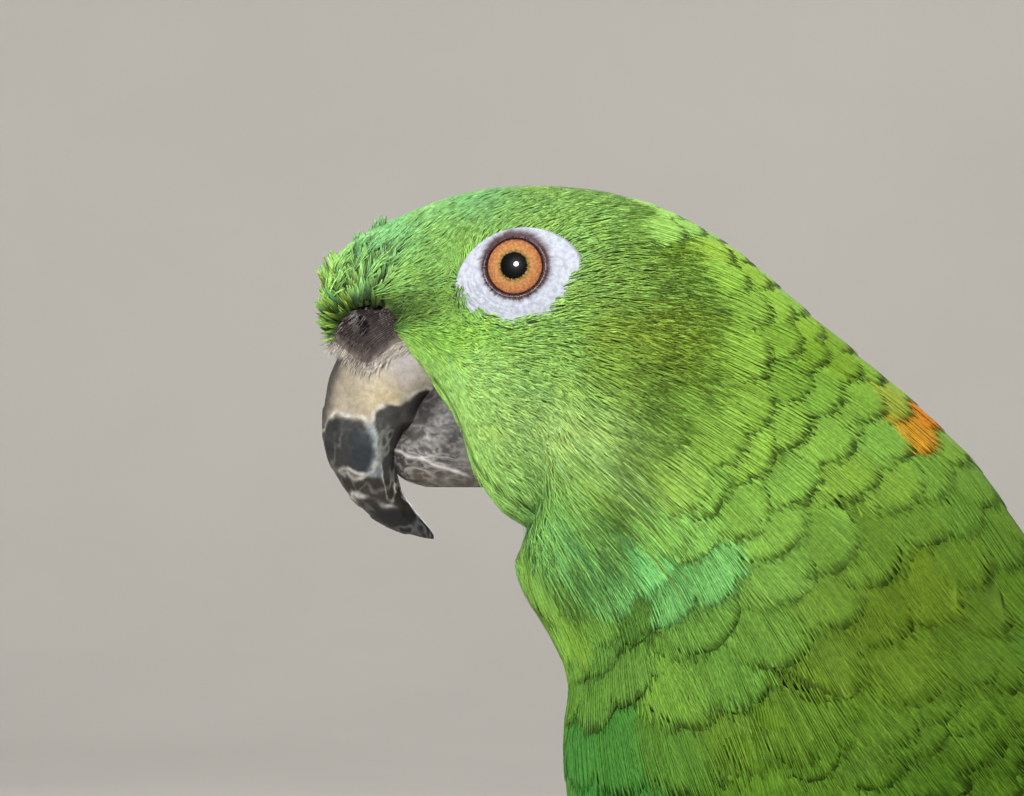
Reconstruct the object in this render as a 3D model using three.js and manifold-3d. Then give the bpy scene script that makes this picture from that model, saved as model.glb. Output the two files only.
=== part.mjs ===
// Yellow-naped amazon parrot, life size, standing on the ground with its neck stretched forward.
// Millimetres. The bird faces -X, its left side is -Y, +Z is up and the ground is z = 0.
// Places on the bird are first given from the centre of its eye: "back" towards the tail, "up" towards
// the crown. The feathers' tips make the outline, so the solids reach out to them.
import * as THREE from 'three';
import { mergeVertices } from 'three/addons/utils/BufferGeometryUtils.js';
import Module from 'manifold-3d';

const wasm = await Module();
wasm.setup();

// ---- driving dimensions ----
const GAP = 0.35;                  // thin cut that parts neighbouring pieces
const EYE_HEIGHT = 228.0;          // ground to the centre of the eye
const SIDES = { left: -1, right: 1 };

const CULMEN_RADIUS_BASE = 22.6;   // the bill's ridge is nearly a circle, a little wider at its base
const CULMEN_RADIUS_TIP = 20.6;
const CULMEN_CENTRE = { back: -14, up: -27 };
const CULMEN_BASE_ANGLE = 96;      // degrees round that centre, from straight back over the top
const CULMEN_TIP_ANGLE = 268;
const BILL_HALF_WIDTH = 8.4;
const BILL_DEPTH = 16.9;
const BILL_TIP_DEPTH = 0.7;
const RIDGE_SHARE = 0.55;          // share of the bill's depth outside its widest line
const HOOK_START = 0.47;           // share of the ridge before the hook begins to thin
const BILL_POINTS = 12;
const BILL_RINGS = 14;
const CERE_RINGS = 6;
const CERE_FRONT = { back: -31.5, up: -14.6 };  // the soft cere ends on a line from here
const CERE_SLOPE = 8;              // degrees that the line rises to the back
const CERE_THICKNESS = 0.9;
const CERE_END_ANGLE = 170;        // round the culmen's centre, where the cere has run out
const CERE_BLOCK = 60;

const SCOOP_BACK = -3;
// Level sections of the lower mandible, from the gape to its underside.
const SCOOP = [
  { up: -23.2, front: -15.4, halfWidth: 6.6 },
  { up: -27.2, front: -18.4, halfWidth: 7.2 },
  { up: -31.8, front: -20.6, halfWidth: 7.2 },
  { up: -34.8, front: -20.2, halfWidth: 6.8 },
  { up: -37.0, front: -17.8, halfWidth: 6.0 },
  { up: -38.3, front: -14.6, halfWidth: 4.8 },
];

const IRIS_DIAMETER = 9.9;
const EYEBALL_RADIUS = 6.3;
const CORNEA_DEPTH = 4.2;          // the eye is flatter than a ball
const EYE_POLE = 18.7;             // middle plane of the head to the front of the cornea
const EYE_SET = { back: -0.5, up: 0.6 };
const EYE_YAW = 9;                 // the eyes look a little forwards and up, in degrees
const EYE_ROLL = 7;
const BARE_SKIN_LENGTH = 21.6;     // almond of bare skin round the eye
const BARE_SKIN_HEIGHT = 16.6;
const BARE_SKIN_TILT = 15;         // its back corner is the higher one
const BARE_SKIN_OFFSET = { back: 0.5, up: -1.2 };
const SKIN_DEPTH = 4.2;            // from the cornea's front to the floor of the bare skin's well
const LID_WIDTH = 0.75;
const ALMOND_POINTS = 18;

const TAIL_LENGTH = 122;
const TAIL_SLOPE = 27;             // degrees below level
const TAIL_PAIRS = 6;
const TAIL_ROOT = { back: 172, up: -165 };
const TAIL_SPREAD = 6;             // degrees from the middle to the outermost feather
const TAIL_STEP = 1.2;             // from one feather's root to the next, across the tail
const TAIL_GRADE = 0.1;            // how much shorter the outermost pair is, as a share
const RECTRIX_WIDTH = 22;
const OUTER_RECTRIX_WIDTH = 18;
const TAIL_ROOF = 0.2;             // how much each half of the tail slopes to its side

// Angles on the folded wing are degrees round the body from the back line.
const WING_LIFT = 1.05;            // the wing stands this clear of the body
const WING_THICKNESS = 6.5;
const WING_EDGE = 0.9;
const WING_MIDDLE = { front: 84, back: 62 };
const WING_REACH = { above: [46, 36], below: [36, 34] };  // from the middle, at its front and back
const WING_POINTS = 7;             // steps across the folded wing, and rings along it
const WING_RINGS = 11;

const WING_TIP = { back: 244, up: -194, out: 8 };
const FLIGHT_LIFT = 1.9;           // the flight feathers stand this clear of the rump
const FLIGHT_EDGE = { upper: [22, 12], lower: [100, 74] };
const FLIGHT_THICKNESS = [2.6, 1.2];
const FLIGHT_RINGS = 12;
const RUMP_SHARE = 0.5;            // how much of the flight feathers' length lies on the rump
const FEATHER_STEP = 9;            // degrees from one feather tip to the next
const VANE_THICKNESS = 1.1;
const LAYER_STEP = 0.65;           // how much deeper each overlapping feather lies

const FOOT = { back: 88, out: 21 };           // middle of the sole
const ANKLE = { back: 101, height: 28, out: 20 };
const TOE_REACH = { inner_front: 24, outer_front: 34, inner_back: 18, outer_back: 29 };
const TOE_ANGLE = { inner_front: 17, outer_front: -21, inner_back: 158, outer_back: -150 };
const TOE_RADIUS = 3.9;            // at the foot, thinning to the claw
const TOE_TAPER = 1.1;
const TOE_START = 3;               // from the middle of the sole
const LONG_TOE = 22;               // a toe longer than this has three joints, a shorter one two
const JOINT_SWELL = 0.1;
const CLAW_LENGTH = 12.5;
const CLAW_RADIUS = 2.0;
const CLAW_LIFT = 0.3;             // the claws' tips stay this clear of the ground
const THIGH_TOP = { back: 82, up: -150, out: 19 };
const THIGH_RADII = [7, 12.5, 16, 16.5, 14.5, 10.5, 7];
const THIGH_FLATNESS = 0.86;
// Share of the way up from the sole, and the radius there.
const TARSUS_ROWS = [[1, 4.2], [0.8, 3.5], [0.55, 3.4], [0.34, 4.4], [0.2, 6.0], [0.06, 5.8], [0, 5.0]];
const LEG_POINTS = 12;
const TOE_POINTS = 8;
const CLAW_POINTS = 5;

// Sections through the whole bird, each a plane from the back line to the belly line. halfWidth is
// the greatest half width, and widest is how far down from the back it lies.
const BODY = [
  { at: 'frontal tuft', top: [-35.2, -4.4], bottom: [-31.4, -8.0], halfWidth: 2.6, widest: 0.5 },
  { at: 'tuft tips', top: [-33.2, 1.6], bottom: [-27.0, -10.8], halfWidth: 6.8, widest: 0.5 },
  { at: 'brow', top: [-28.6, 5.6], bottom: [-21.5, -14.5], halfWidth: 10.4, widest: 0.5 },
  { at: 'lores', top: [-22.6, 8.8], bottom: [-15.8, -19.8], halfWidth: 13.2, widest: 0.52 },
  { at: 'forehead', top: [-15.1, 12.0], bottom: [-10.6, -28.0], halfWidth: 15.8, widest: 0.55 },
  { at: 'gape', top: [-8.0, 14.1], bottom: [-7.4, -36.8], halfWidth: 18.0, widest: 0.57 },
  { at: 'eye', top: [0.0, 15.0], bottom: [-3.0, -41.6], halfWidth: 20.2, widest: 0.57 },
  { at: 'crown', top: [8.5, 14.9], bottom: [3.4, -44.8], halfWidth: 21.6, widest: 0.56 },
  { at: 'cheek', top: [17.8, 13.6], bottom: [3.2, -47.8], halfWidth: 22.6, widest: 0.54 },
  { at: 'throat', top: [27.5, 10.2], bottom: [-0.2, -51.6], halfWidth: 23.8, widest: 0.52 },
  { at: 'nape', top: [38.0, 4.2], bottom: [1.6, -57.2], halfWidth: 25.4, widest: 0.51 },
  { at: 'upper neck', top: [49.0, -5.0], bottom: [6.4, -65.0], halfWidth: 27.0, widest: 0.5 },
  { at: 'neck', top: [60.2, -14.6], bottom: [9.4, -72.4], halfWidth: 29.0, widest: 0.5 },
  { at: 'lower neck', top: [71.5, -24.4], bottom: [8.7, -80.0], halfWidth: 31.2, widest: 0.5 },
  { at: 'shoulders', top: [81.5, -34.5], bottom: [8.8, -88.6], halfWidth: 33.4, widest: 0.49 },
  { at: 'mantle', top: [90.0, -47.0], bottom: [10.2, -98.5], halfWidth: 35.2, widest: 0.48 },
  { at: 'breast', top: [100.5, -61.0], bottom: [15.4, -112.5], halfWidth: 36.6, widest: 0.48 },
  { at: 'lower breast', top: [113.5, -77.0], bottom: [26.5, -130.0], halfWidth: 37.2, widest: 0.48 },
  { at: 'back', top: [128.0, -92.5], bottom: [44.0, -147.5], halfWidth: 36.8, widest: 0.48 },
  { at: 'belly', top: [143.0, -107.5], bottom: [68.0, -162.5], halfWidth: 35.2, widest: 0.48 },
  { at: 'lower back', top: [158.0, -122.0], bottom: [95.0, -174.0], halfWidth: 32.0, widest: 0.47 },
  { at: 'vent', top: [172.0, -136.0], bottom: [124.0, -182.5], halfWidth: 27.2, widest: 0.46 },
  { at: 'rump', top: [184.5, -149.0], bottom: [152.0, -188.6], halfWidth: 21.6, widest: 0.46 },
  { at: 'tail coverts', top: [196.0, -161.0], bottom: [177.0, -193.0], halfWidth: 16.4, widest: 0.46 },
  { at: 'covert tips', top: [206.0, -171.5], bottom: [199.0, -193.6], halfWidth: 13.2, widest: 0.45 },
  { at: 'last coverts', top: [213.5, -178.5], bottom: [212.0, -192.4], halfWidth: 9.0, widest: 0.45 },
];
const ROUNDNESS = 2.15;            // exponent of each section's outline, 2 is an ellipse
const RING_POINTS = 24;
const RINGS_PER_STATION = 2;

// ---- colours and finishes ----
const plumage = new THREE.MeshStandardMaterial({ color: 0x6fae45, roughness: 0.75, metalness: 0 });
const wingGreen = new THREE.MeshStandardMaterial({ color: 0x4f8f38, roughness: 0.7, metalness: 0 });
const flightGreen = new THREE.MeshStandardMaterial({ color: 0x2f5f3c, roughness: 0.6, metalness: 0 });
const horn = new THREE.MeshStandardMaterial({ color: 0x8c867c, roughness: 0.5, metalness: 0 });
const darkHorn = new THREE.MeshStandardMaterial({ color: 0x3c3a3b, roughness: 0.5, metalness: 0 });
const cereSkin = new THREE.MeshStandardMaterial({ color: 0x3d3433, roughness: 0.7, metalness: 0 });
const bareSkin = new THREE.MeshStandardMaterial({ color: 0xd9dbe2, roughness: 0.6, metalness: 0 });
const iris = new THREE.MeshStandardMaterial({ color: 0xd98a45, roughness: 0.1, metalness: 0 });
const footScale = new THREE.MeshStandardMaterial({ color: 0x8f8f92, roughness: 0.7, metalness: 0 });
const claw = new THREE.MeshStandardMaterial({ color: 0x2c2a2b, roughness: 0.4, metalness: 0 });

// ---- small helpers ----
const rad = THREE.MathUtils.degToRad;
const lerp = THREE.MathUtils.lerp;

function smooth(low, high, value) {
  return THREE.MathUtils.smoothstep(value, low, high);
}

// A point given from the eye, at y across the bird, in the bird's own frame.
function fromEye(back, up, y = 0) {
  return new THREE.Vector3(back, y, EYE_HEIGHT + up);
}

function signedVolume(geometry) {
  const p = geometry.attributes.position;
  const index = geometry.index.array;
  const [a, b, c] = [new THREE.Vector3(), new THREE.Vector3(), new THREE.Vector3()];
  let volume = 0;
  for (let i = 0; i < index.length; i += 3) {
    a.fromBufferAttribute(p, index[i]);
    b.fromBufferAttribute(p, index[i + 1]);
    c.fromBufferAttribute(p, index[i + 2]);
    volume += a.dot(b.cross(c)) / 6;
  }
  return volume;
}

// Skin over a row of rings of equally many points. Open rows are closed by a point in the middle of
// each end, and a row that is closed joins its last ring to its first.
function loft(rings, closedRow = false) {
  const count = rings[0].length;
  const points = rings.flat();
  const index = [];
  const rows = closedRow ? rings.length : rings.length - 1;
  for (let r = 0; r < rows; r++) {
    const next = (r + 1) % rings.length;
    for (let i = 0; i < count; i++) {
      const j = (i + 1) % count;
      index.push(r * count + i, r * count + j, next * count + j);
      index.push(r * count + i, next * count + j, next * count + i);
    }
  }
  if (!closedRow) {
    [0, rings.length - 1].forEach((r, end) => {
      const middle = new THREE.Vector3();
      rings[r].forEach((point) => middle.addScaledVector(point, 1 / count));
      points.push(middle);
      for (let i = 0; i < count; i++) {
        const pair = [r * count + i, r * count + (i + 1) % count];
        index.push(points.length - 1, pair[1 - end], pair[end]);
      }
    });
  }
  const geometry = new THREE.BufferGeometry().setFromPoints(points);
  geometry.setIndex(index);
  if (signedVolume(geometry) < 0) {
    geometry.setIndex(index.reverse());
  }
  return geometry;
}

function toSolid(geometry) {
  const bare = geometry.clone();
  bare.deleteAttribute('normal');
  bare.deleteAttribute('uv');
  const merged = mergeVertices(bare, 1e-4);
  return new wasm.Manifold(new wasm.Mesh({
    numProp: 3,
    vertProperties: new Float32Array(merged.attributes.position.array),
    triVerts: new Uint32Array(merged.index.array),
  }));
}

function toGeometry(solid) {
  const mesh = solid.getMesh();
  const geometry = new THREE.BufferGeometry();
  geometry.setAttribute('position', new THREE.BufferAttribute(mesh.vertProperties, 3));
  geometry.setIndex(new THREE.BufferAttribute(mesh.triVerts, 1));
  return geometry;
}

// Keeps the largest body of a mesh: loose crumbs of a cut and hollows sealed inside a join go.
function mainBody(geometry) {
  const index = geometry.index.array;
  const owner = Array.from({ length: geometry.attributes.position.count }, (_, i) => i);
  const find = (i) => {
    while (owner[i] !== i) {
      owner[i] = owner[owner[i]];
      i = owner[i];
    }
    return i;
  };
  for (let i = 0; i < index.length; i += 3) {
    owner[find(index[i + 1])] = find(index[i]);
    owner[find(index[i + 2])] = find(index[i]);
  }
  const bodies = new Map();
  for (let i = 0; i < index.length; i += 3) {
    const root = find(index[i]);
    if (!bodies.has(root)) {
      bodies.set(root, []);
    }
    bodies.get(root).push(index[i], index[i + 1], index[i + 2]);
  }
  const candidates = [...bodies.values()].map((triangles) => {
    const body = new THREE.BufferGeometry();
    body.setAttribute('position', geometry.attributes.position);
    body.setIndex(triangles);
    return mergeVertices(body.toNonIndexed(), 1e-4);
  });
  return candidates.sort((a, b) => signedVolume(b) - signedVolume(a))[0];
}

function join(geometries) {
  return mainBody(toGeometry(geometries.map(toSolid).reduce((whole, solid) => whole.add(solid))));
}

function cut(geometry, ...tools) {
  const left = tools.map(toSolid).reduce((solid, tool) => solid.subtract(tool), toSolid(geometry));
  return mainBody(toGeometry(left));
}

function part(name, geometry, material) {
  const mesh = new THREE.Mesh(geometry, material);
  mesh.name = name;
  return mesh;
}

// ---- the feathered body ----
const backLine = new THREE.SplineCurve(BODY.map((row) => new THREE.Vector2(...row.top)));
const bellyLine = new THREE.SplineCurve(BODY.map((row) => new THREE.Vector2(...row.bottom)));
const girth = new THREE.SplineCurve(BODY.map((row) => new THREE.Vector2(row.halfWidth, row.widest)));
const LAST = BODY.length - 1;

// A number's power that keeps its sign, for outlines squarer or sharper than an ellipse.
function power(value, exponent) {
  return Math.sign(value) * Math.abs(value) ** exponent;
}

function station(name) {
  return BODY.findIndex((row) => row.at === name);
}

// Point of the body at a station number and an angle from the back line, swollen by margin. The
// angle is in degrees, and it runs down the side that the sign of side names.
function bodyPoint(at, angle, side, margin = 0) {
  const top = backLine.getPoint(at / LAST);
  const bottom = bellyLine.getPoint(at / LAST);
  const { x: halfWidth, y: widest } = girth.getPoint(at / LAST);
  const depth = top.distanceTo(bottom);
  const down = bottom.clone().sub(top).divideScalar(depth);
  const upward = Math.cos(rad(angle));
  const outward = Math.sin(rad(angle));
  const reach = (upward > 0 ? widest : 1 - widest) * depth + margin;
  const rise = power(upward, 2 / ROUNDNESS) * reach;
  const y = power(outward, 2 / ROUNDNESS) * (halfWidth + margin);
  const spine = top.clone().addScaledVector(down, widest * depth - rise);
  return fromEye(spine.x, spine.y, side * y);
}

function bodyRing(at, margin = 0) {
  const ring = [];
  for (let i = 0; i < RING_POINTS; i++) {
    ring.push(bodyPoint(at, (360 * i) / RING_POINTS, 1, margin));
  }
  return ring;
}

function ringNormal(at) {
  const top = backLine.getPoint(at / LAST);
  const bottom = bellyLine.getPoint(at / LAST);
  const across = new THREE.Vector3(bottom.x - top.x, 0, bottom.y - top.y);
  return across.cross(new THREE.Vector3(0, 1, 0)).normalize();
}

// A length of the body from one station to another. A length that doesn't start at the front is
// held back from its neighbour by the gap.
function bodyLength(from, to, margin = 0) {
  const rings = [];
  const steps = Math.round((to - from) * RINGS_PER_STATION);
  for (let i = 0; i <= steps; i++) {
    rings.push(bodyRing(from + ((to - from) * i) / steps, margin));
  }
  if (from > 0) {
    const shift = ringNormal(from).multiplyScalar(GAP);
    const ahead = rings[1][0].clone().sub(rings[0][0]).dot(shift) > 0 ? 1 : -1;
    rings[0].forEach((point) => point.addScaledVector(shift, ahead));
  }
  return loft(rings);
}

// ---- the bill and cere ----
// Upper mandible between two angles round the culmen's centre, swollen by margin. It is deep at its
// base, and its inner edge draws out to the ridge to leave the hooked tip.
function upperBill(fromAngle, toAngle, margin, steps = BILL_RINGS) {
  const rings = [];
  for (let s = 0; s <= steps; s++) {
    const angle = lerp(fromAngle, toAngle, s / steps);
    const along = (angle - CULMEN_BASE_ANGLE) / (CULMEN_TIP_ANGLE - CULMEN_BASE_ANGLE);
    const hook = THREE.MathUtils.clamp((along - HOOK_START) / (1 - HOOK_START), 0, 1);
    const outer = lerp(CULMEN_RADIUS_BASE, CULMEN_RADIUS_TIP, smooth(0, 0.5, along));
    const depth = BILL_TIP_DEPTH + BILL_DEPTH * (1 - hook) ** 0.72;
    const halfWidth = BILL_HALF_WIDTH * (0.88 + 0.12 * smooth(0, 0.2, along)) * (1 - 0.93 * hook ** 1.5);
    const middle = outer - depth * RIDGE_SHARE;
    const ring = [];
    for (let i = 0; i < BILL_POINTS; i++) {
      const turn = (2 * Math.PI * i) / BILL_POINTS;
      const out = Math.cos(turn);
      const reach = depth * (out > 0 ? RIDGE_SHARE : 1 - RIDGE_SHARE) + margin;
      const radius = middle + power(out, 0.9) * reach;
      ring.push(fromEye(
        CULMEN_CENTRE.back + radius * Math.cos(rad(angle)),
        CULMEN_CENTRE.up + radius * Math.sin(rad(angle)),
        power(Math.sin(turn), 0.85) * (halfWidth + margin),
      ));
    }
    rings.push(ring);
  }
  return loft(rings);
}

// Block that holds all of the bill's base above the line where the cere ends, less a gap.
function aboveCereLine(gap) {
  const block = new THREE.BoxGeometry(CERE_BLOCK, CERE_BLOCK, CERE_BLOCK);
  block.translate(0, 0, CERE_BLOCK / 2 + gap);
  block.rotateY(-rad(CERE_SLOPE));
  const foot = fromEye(CERE_FRONT.back, CERE_FRONT.up);
  return block.translate(foot.x, foot.y, foot.z);
}

// Lower mandible: a blunt scoop, its edge tucked behind the hook and its back inside the cheek.
function lowerBill(margin) {
  const middleUp = (SCOOP[0].up + SCOOP[SCOOP.length - 1].up) / 2;
  const rings = SCOOP.map(({ up, front, halfWidth }) => {
    const back = SCOOP_BACK + margin;
    const length = back - front + margin;
    const height = up + Math.sign(up - middleUp) * margin;
    const ring = [];
    for (let i = 0; i < BILL_POINTS; i++) {
      const turn = (2 * Math.PI * i) / BILL_POINTS;
      const x = power(Math.cos(turn), 0.8);
      const y = power(Math.sin(turn), 0.7);
      ring.push(fromEye(back - (length / 2) * (1 - x), height, (halfWidth + margin) * y));
    }
    return ring;
  });
  return loft(rings);
}

// ---- the eye and the bare skin round it ----
// Frame of an eye: local +Z looks out of the head and local +Y up it. Local +X then runs back on the
// left side of the head and forward on its right.
function eyeFrame(side) {
  const out = new THREE.Vector3(-Math.sin(rad(EYE_YAW)), side, Math.sin(rad(EYE_ROLL))).normalize();
  const across = new THREE.Vector3(0, 0, 1).cross(out).normalize();
  const frame = new THREE.Matrix4().makeBasis(across, out.clone().cross(across), out);
  return frame.setPosition(fromEye(EYE_SET.back, EYE_SET.up, side * EYE_POLE));
}

// Outline of the bare skin in the eye's frame, an almond pointed at its back and lower front corners.
function almond(turn, size, side) {
  const x = (BARE_SKIN_LENGTH / 2) * size * Math.cos(turn);
  const y = (BARE_SKIN_HEIGHT / 2) * size * power(Math.sin(turn), 1.2);
  const tilt = rad(BARE_SKIN_TILT);
  return [
    -side * (BARE_SKIN_OFFSET.back + x * Math.cos(tilt) - y * Math.sin(tilt)),
    BARE_SKIN_OFFSET.up + x * Math.sin(tilt) + y * Math.cos(tilt),
  ];
}

function eyeball() {
  const ball = new THREE.SphereGeometry(1, 12, 8);
  ball.rotateX(Math.PI / 2);
  ball.scale(EYEBALL_RADIUS, EYEBALL_RADIUS, CORNEA_DEPTH);
  ball.translate(0, 0, -CORNEA_DEPTH);
  return ball;
}

// Ring of bare skin with the lid margin raised round the eye.
function bareRing(side) {
  const lid = IRIS_DIAMETER / 2 + 0.5;
  const rings = [];
  for (let i = 0; i < ALMOND_POINTS; i++) {
    const turn = (2 * Math.PI * i) / ALMOND_POINTS;
    const [x, y] = almond(turn, 1, side);
    const at = (share, depth, radius = lid) => new THREE.Vector3(
      lerp(-side * radius * Math.cos(turn), x, share),
      lerp(radius * Math.sin(turn), y, share),
      depth,
    );
    const lidMargin = [at(0, -2.6, lid + LID_WIDTH), at(0, -1.5), at(0.18, -1.2)];
    const floor = [at(1, -SKIN_DEPTH), at(0, -SKIN_DEPTH, lid + 2 * LID_WIDTH)];
    rings.push([...lidMargin, at(1, -2.4), ...floor]);
  }
  return loft(rings, true);
}

// What is cut from the head for the eye: the almond well and the room for the eyeball behind it.
function socket(side) {
  const well = [[1.04, -SKIN_DEPTH - GAP], [1.04, -2.2], [1.3, 4]].map(([size, depth]) => {
    const ring = [];
    for (let i = 0; i < ALMOND_POINTS; i++) {
      const [x, y] = almond((2 * Math.PI * i) / ALMOND_POINTS, size, side);
      ring.push(new THREE.Vector3(x, y, depth));
    }
    return ring;
  });
  const room = new THREE.SphereGeometry(1, 12, 6);
  room.rotateX(Math.PI / 2);
  room.scale(EYEBALL_RADIUS + 3 * GAP, EYEBALL_RADIUS + 3 * GAP, CORNEA_DEPTH + 2 * GAP);
  room.translate(0, 0, -CORNEA_DEPTH);
  return join([loft(well), room]);
}

// ---- feathers that reach past the body ----
// Outline of one long feather along +X from its root, narrow at the root and round at the tip.
function featherOutline(length, width, margin) {
  const shape = new THREE.Shape();
  const half = width / 2 + margin;
  const end = length + margin;
  const shoulder = end - half * 1.1;
  shape.moveTo(-margin, -half * 0.7);
  shape.lineTo(shoulder, -half);
  shape.quadraticCurveTo(end, -half, end, 0);
  shape.quadraticCurveTo(end, half, shoulder, half);
  shape.lineTo(-margin, half * 0.7);
  return shape;
}

// Feathers that overlap like a hand of cards. The frame's +X runs along the first feather, its +Y
// across the fan and its +Z out of the face that the first feather lies on. Each later feather lies
// a layer deeper and is given by its length, width, turn in degrees and shift across.
function fan(frame, feathers, margin = 0) {
  const cards = feathers.map(({ length, width, turn, shift }, layer) => {
    const card = new THREE.ExtrudeGeometry(featherOutline(length, width, margin), {
      depth: VANE_THICKNESS + 2 * margin,
      bevelEnabled: false,
      curveSegments: 2,
    });
    card.translate(0, 0, -layer * LAYER_STEP - margin);
    card.rotateZ(rad(turn));
    card.translate(0, shift, 0);
    return card.applyMatrix4(frame);
  });
  return join(cards);
}

// Frame at a root, aimed at a tip, with its face turned as nearly as it can be towards "facing".
function fanFrame(root, tip, facing) {
  const along = tip.clone().sub(root).normalize();
  const across = facing.clone().cross(along).normalize();
  return new THREE.Matrix4().makeBasis(along, across, along.clone().cross(across)).setPosition(root);
}

function tailFeathers(margin = 0) {
  const halves = Object.values(SIDES).map((side) => {
    const root = fromEye(TAIL_ROOT.back, TAIL_ROOT.up, side * 2);
    const tip = fromEye(
      TAIL_ROOT.back + TAIL_LENGTH * Math.cos(rad(TAIL_SLOPE)),
      TAIL_ROOT.up - TAIL_LENGTH * Math.sin(rad(TAIL_SLOPE)),
      side * 6,
    );
    const frame = fanFrame(root, tip, new THREE.Vector3(0, side * TAIL_ROOF, 1));
    const feathers = [];
    for (let pair = 0; pair < TAIL_PAIRS; pair++) {
      const share = pair / (TAIL_PAIRS - 1);
      feathers.push({
        length: TAIL_LENGTH * (1 - TAIL_GRADE * share ** 1.5),
        width: lerp(RECTRIX_WIDTH, OUTER_RECTRIX_WIDTH, share),
        turn: side * TAIL_SPREAD * share,
        shift: side * TAIL_STEP * pair,
      });
    }
    return fan(frame, feathers, margin);
  });
  return join(halves);
}

// ---- the folded wing ----
// The covered part of the wing lies on the body like a saddle flap. It follows the body's own
// sections from the bend of the wing to the rump, between an upper and a lower edge.
function wingCoverts(side, margin = 0) {
  const front = station('shoulders') + 0.9;
  const back = station('lower back') + 0.7;
  const rings = [];
  for (let s = 0; s <= WING_RINGS; s++) {
    const along = (s / WING_RINGS) ** 1.5;
    const at = lerp(front, back, along);
    const opening = Math.sqrt(1 - (1 - Math.min(1, along / 0.4)) ** 2);
    const middle = lerp(WING_MIDDLE.front, WING_MIDDLE.back, smooth(0, 1, along));
    const upper = middle - 3 - lerp(...WING_REACH.above, along) * opening;
    const lower = middle + 3 + lerp(...WING_REACH.below, along) * opening;
    const swell = WING_THICKNESS * (0.25 + 0.75 * Math.sin(Math.PI * (0.12 + 0.68 * along)));
    const outer = [];
    const inner = [];
    for (let i = 0; i <= WING_POINTS; i++) {
      const share = i / WING_POINTS;
      const angle = lerp(upper, lower, share);
      const lift = WING_LIFT + WING_EDGE + swell * Math.sin(Math.PI * share) ** 0.6;
      outer.push(bodyPoint(at, angle, side, lift + margin));
      inner.push(bodyPoint(at, angle, side, WING_LIFT - margin));
    }
    rings.push([...outer, ...inner.reverse()]);
  }
  return loft(rings);
}

// The flight feathers come out from under the coverts, follow the rump and run together to the wing
// tip above the tail. Their tips step the upper edge.
function flightFeathers(side) {
  const front = station('lower back') + 0.75;
  const back = station('covert tips');
  const wingTip = fromEye(WING_TIP.back, WING_TIP.up, side * WING_TIP.out);
  const rings = [];
  for (let r = 0; r <= FLIGHT_RINGS; r++) {
    const along = r / FLIGHT_RINGS;
    const onRump = Math.min(1, along / RUMP_SHARE);
    const pastRump = Math.max(0, (along - RUMP_SHARE) / (1 - RUMP_SHARE)) * 0.97;
    const at = lerp(front, back, onRump);
    const step = FEATHER_STEP * ((r % 3) / 3);
    const upper = lerp(...FLIGHT_EDGE.upper, onRump) + step;
    const lower = lerp(...FLIGHT_EDGE.lower, onRump);
    const middle = bodyPoint(at, (upper + lower) / 2, side, FLIGHT_LIFT);
    const centre = middle.clone().lerp(wingTip, pastRump);
    const spread = (1 - pastRump ** 2) ** 0.7;
    const thickness = lerp(...FLIGHT_THICKNESS, along);
    const outer = [];
    const inner = [];
    for (let i = 0; i <= WING_POINTS; i++) {
      const angle = lerp(upper, lower, i / WING_POINTS);
      const onBody = bodyPoint(at, angle, side, FLIGHT_LIFT);
      const out = bodyPoint(at, angle, side, FLIGHT_LIFT + 1).sub(onBody).normalize();
      const point = centre.clone().addScaledVector(onBody.sub(middle), spread);
      inner.push(point);
      outer.push(point.clone().addScaledVector(out, thickness));
    }
    rings.push([...outer, ...inner.reverse()]);
  }
  return loft(rings);
}

// ---- legs and feet ----
function ellipseRing(centre, radiusX, radiusY) {
  const ring = [];
  for (let i = 0; i < LEG_POINTS; i++) {
    const turn = (2 * Math.PI * i) / LEG_POINTS;
    ring.push(centre.clone().add(new THREE.Vector3(radiusX * Math.cos(turn), radiusY * Math.sin(turn), 0)));
  }
  return ring;
}

// Feathered thigh, from inside the belly down to the ankle.
function thigh(side) {
  const top = fromEye(THIGH_TOP.back, THIGH_TOP.up, side * THIGH_TOP.out);
  const ankle = new THREE.Vector3(ANKLE.back, side * ANKLE.out, ANKLE.height);
  return loft(THIGH_RADII.map((radius, i) => {
    const centre = top.clone().lerp(ankle, i / (THIGH_RADII.length - 1));
    return ellipseRing(centre, radius, radius * THIGH_FLATNESS);
  }));
}

// Bare tarsus with the pad under it, flat where it stands.
function tarsus(side, margin = 0) {
  const ankle = new THREE.Vector3(ANKLE.back, side * ANKLE.out, ANKLE.height - GAP);
  const sole = new THREE.Vector3(FOOT.back, side * FOOT.out, -margin);
  return loft(TARSUS_ROWS.map(([share, radius]) => (
    ellipseRing(sole.clone().lerp(ankle, share), radius * 1.08 + margin, radius + margin)
  )));
}

// A toe seen from above runs straight out from the foot. Each joint is a soft bulge, and the
// underside is pressed flat on the ground.
function toe(side, name, margin = 0) {
  const reach = TOE_REACH[name];
  const turn = rad(180 + TOE_ANGLE[name] * side);
  const along = new THREE.Vector3(Math.cos(turn), Math.sin(turn), 0);
  const across = new THREE.Vector3(-along.y, along.x, 0);
  const joints = reach > LONG_TOE ? 3 : 2;
  const rings = [];
  const steps = joints * 2 + 1;
  for (let s = 0; s <= steps; s++) {
    const share = s / steps;
    const swell = 1 + JOINT_SWELL * Math.cos(2 * Math.PI * joints * share);
    const thickness = (TOE_RADIUS - TOE_TAPER * share) * swell;
    const radius = thickness + margin;
    const centre = new THREE.Vector3(FOOT.back, side * FOOT.out, thickness * 0.86)
      .addScaledVector(along, lerp(TOE_START, reach, share));
    const ring = [];
    for (let i = 0; i < TOE_POINTS; i++) {
      const around = (2 * Math.PI * (i + 0.5)) / TOE_POINTS;
      const point = centre.clone().addScaledVector(across, radius * Math.sin(around));
      point.z = Math.max(-margin, point.z + radius * Math.cos(around));
      ring.push(point);
    }
    rings.push(ring);
  }
  return { solid: loft(rings), along, across };
}

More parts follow.
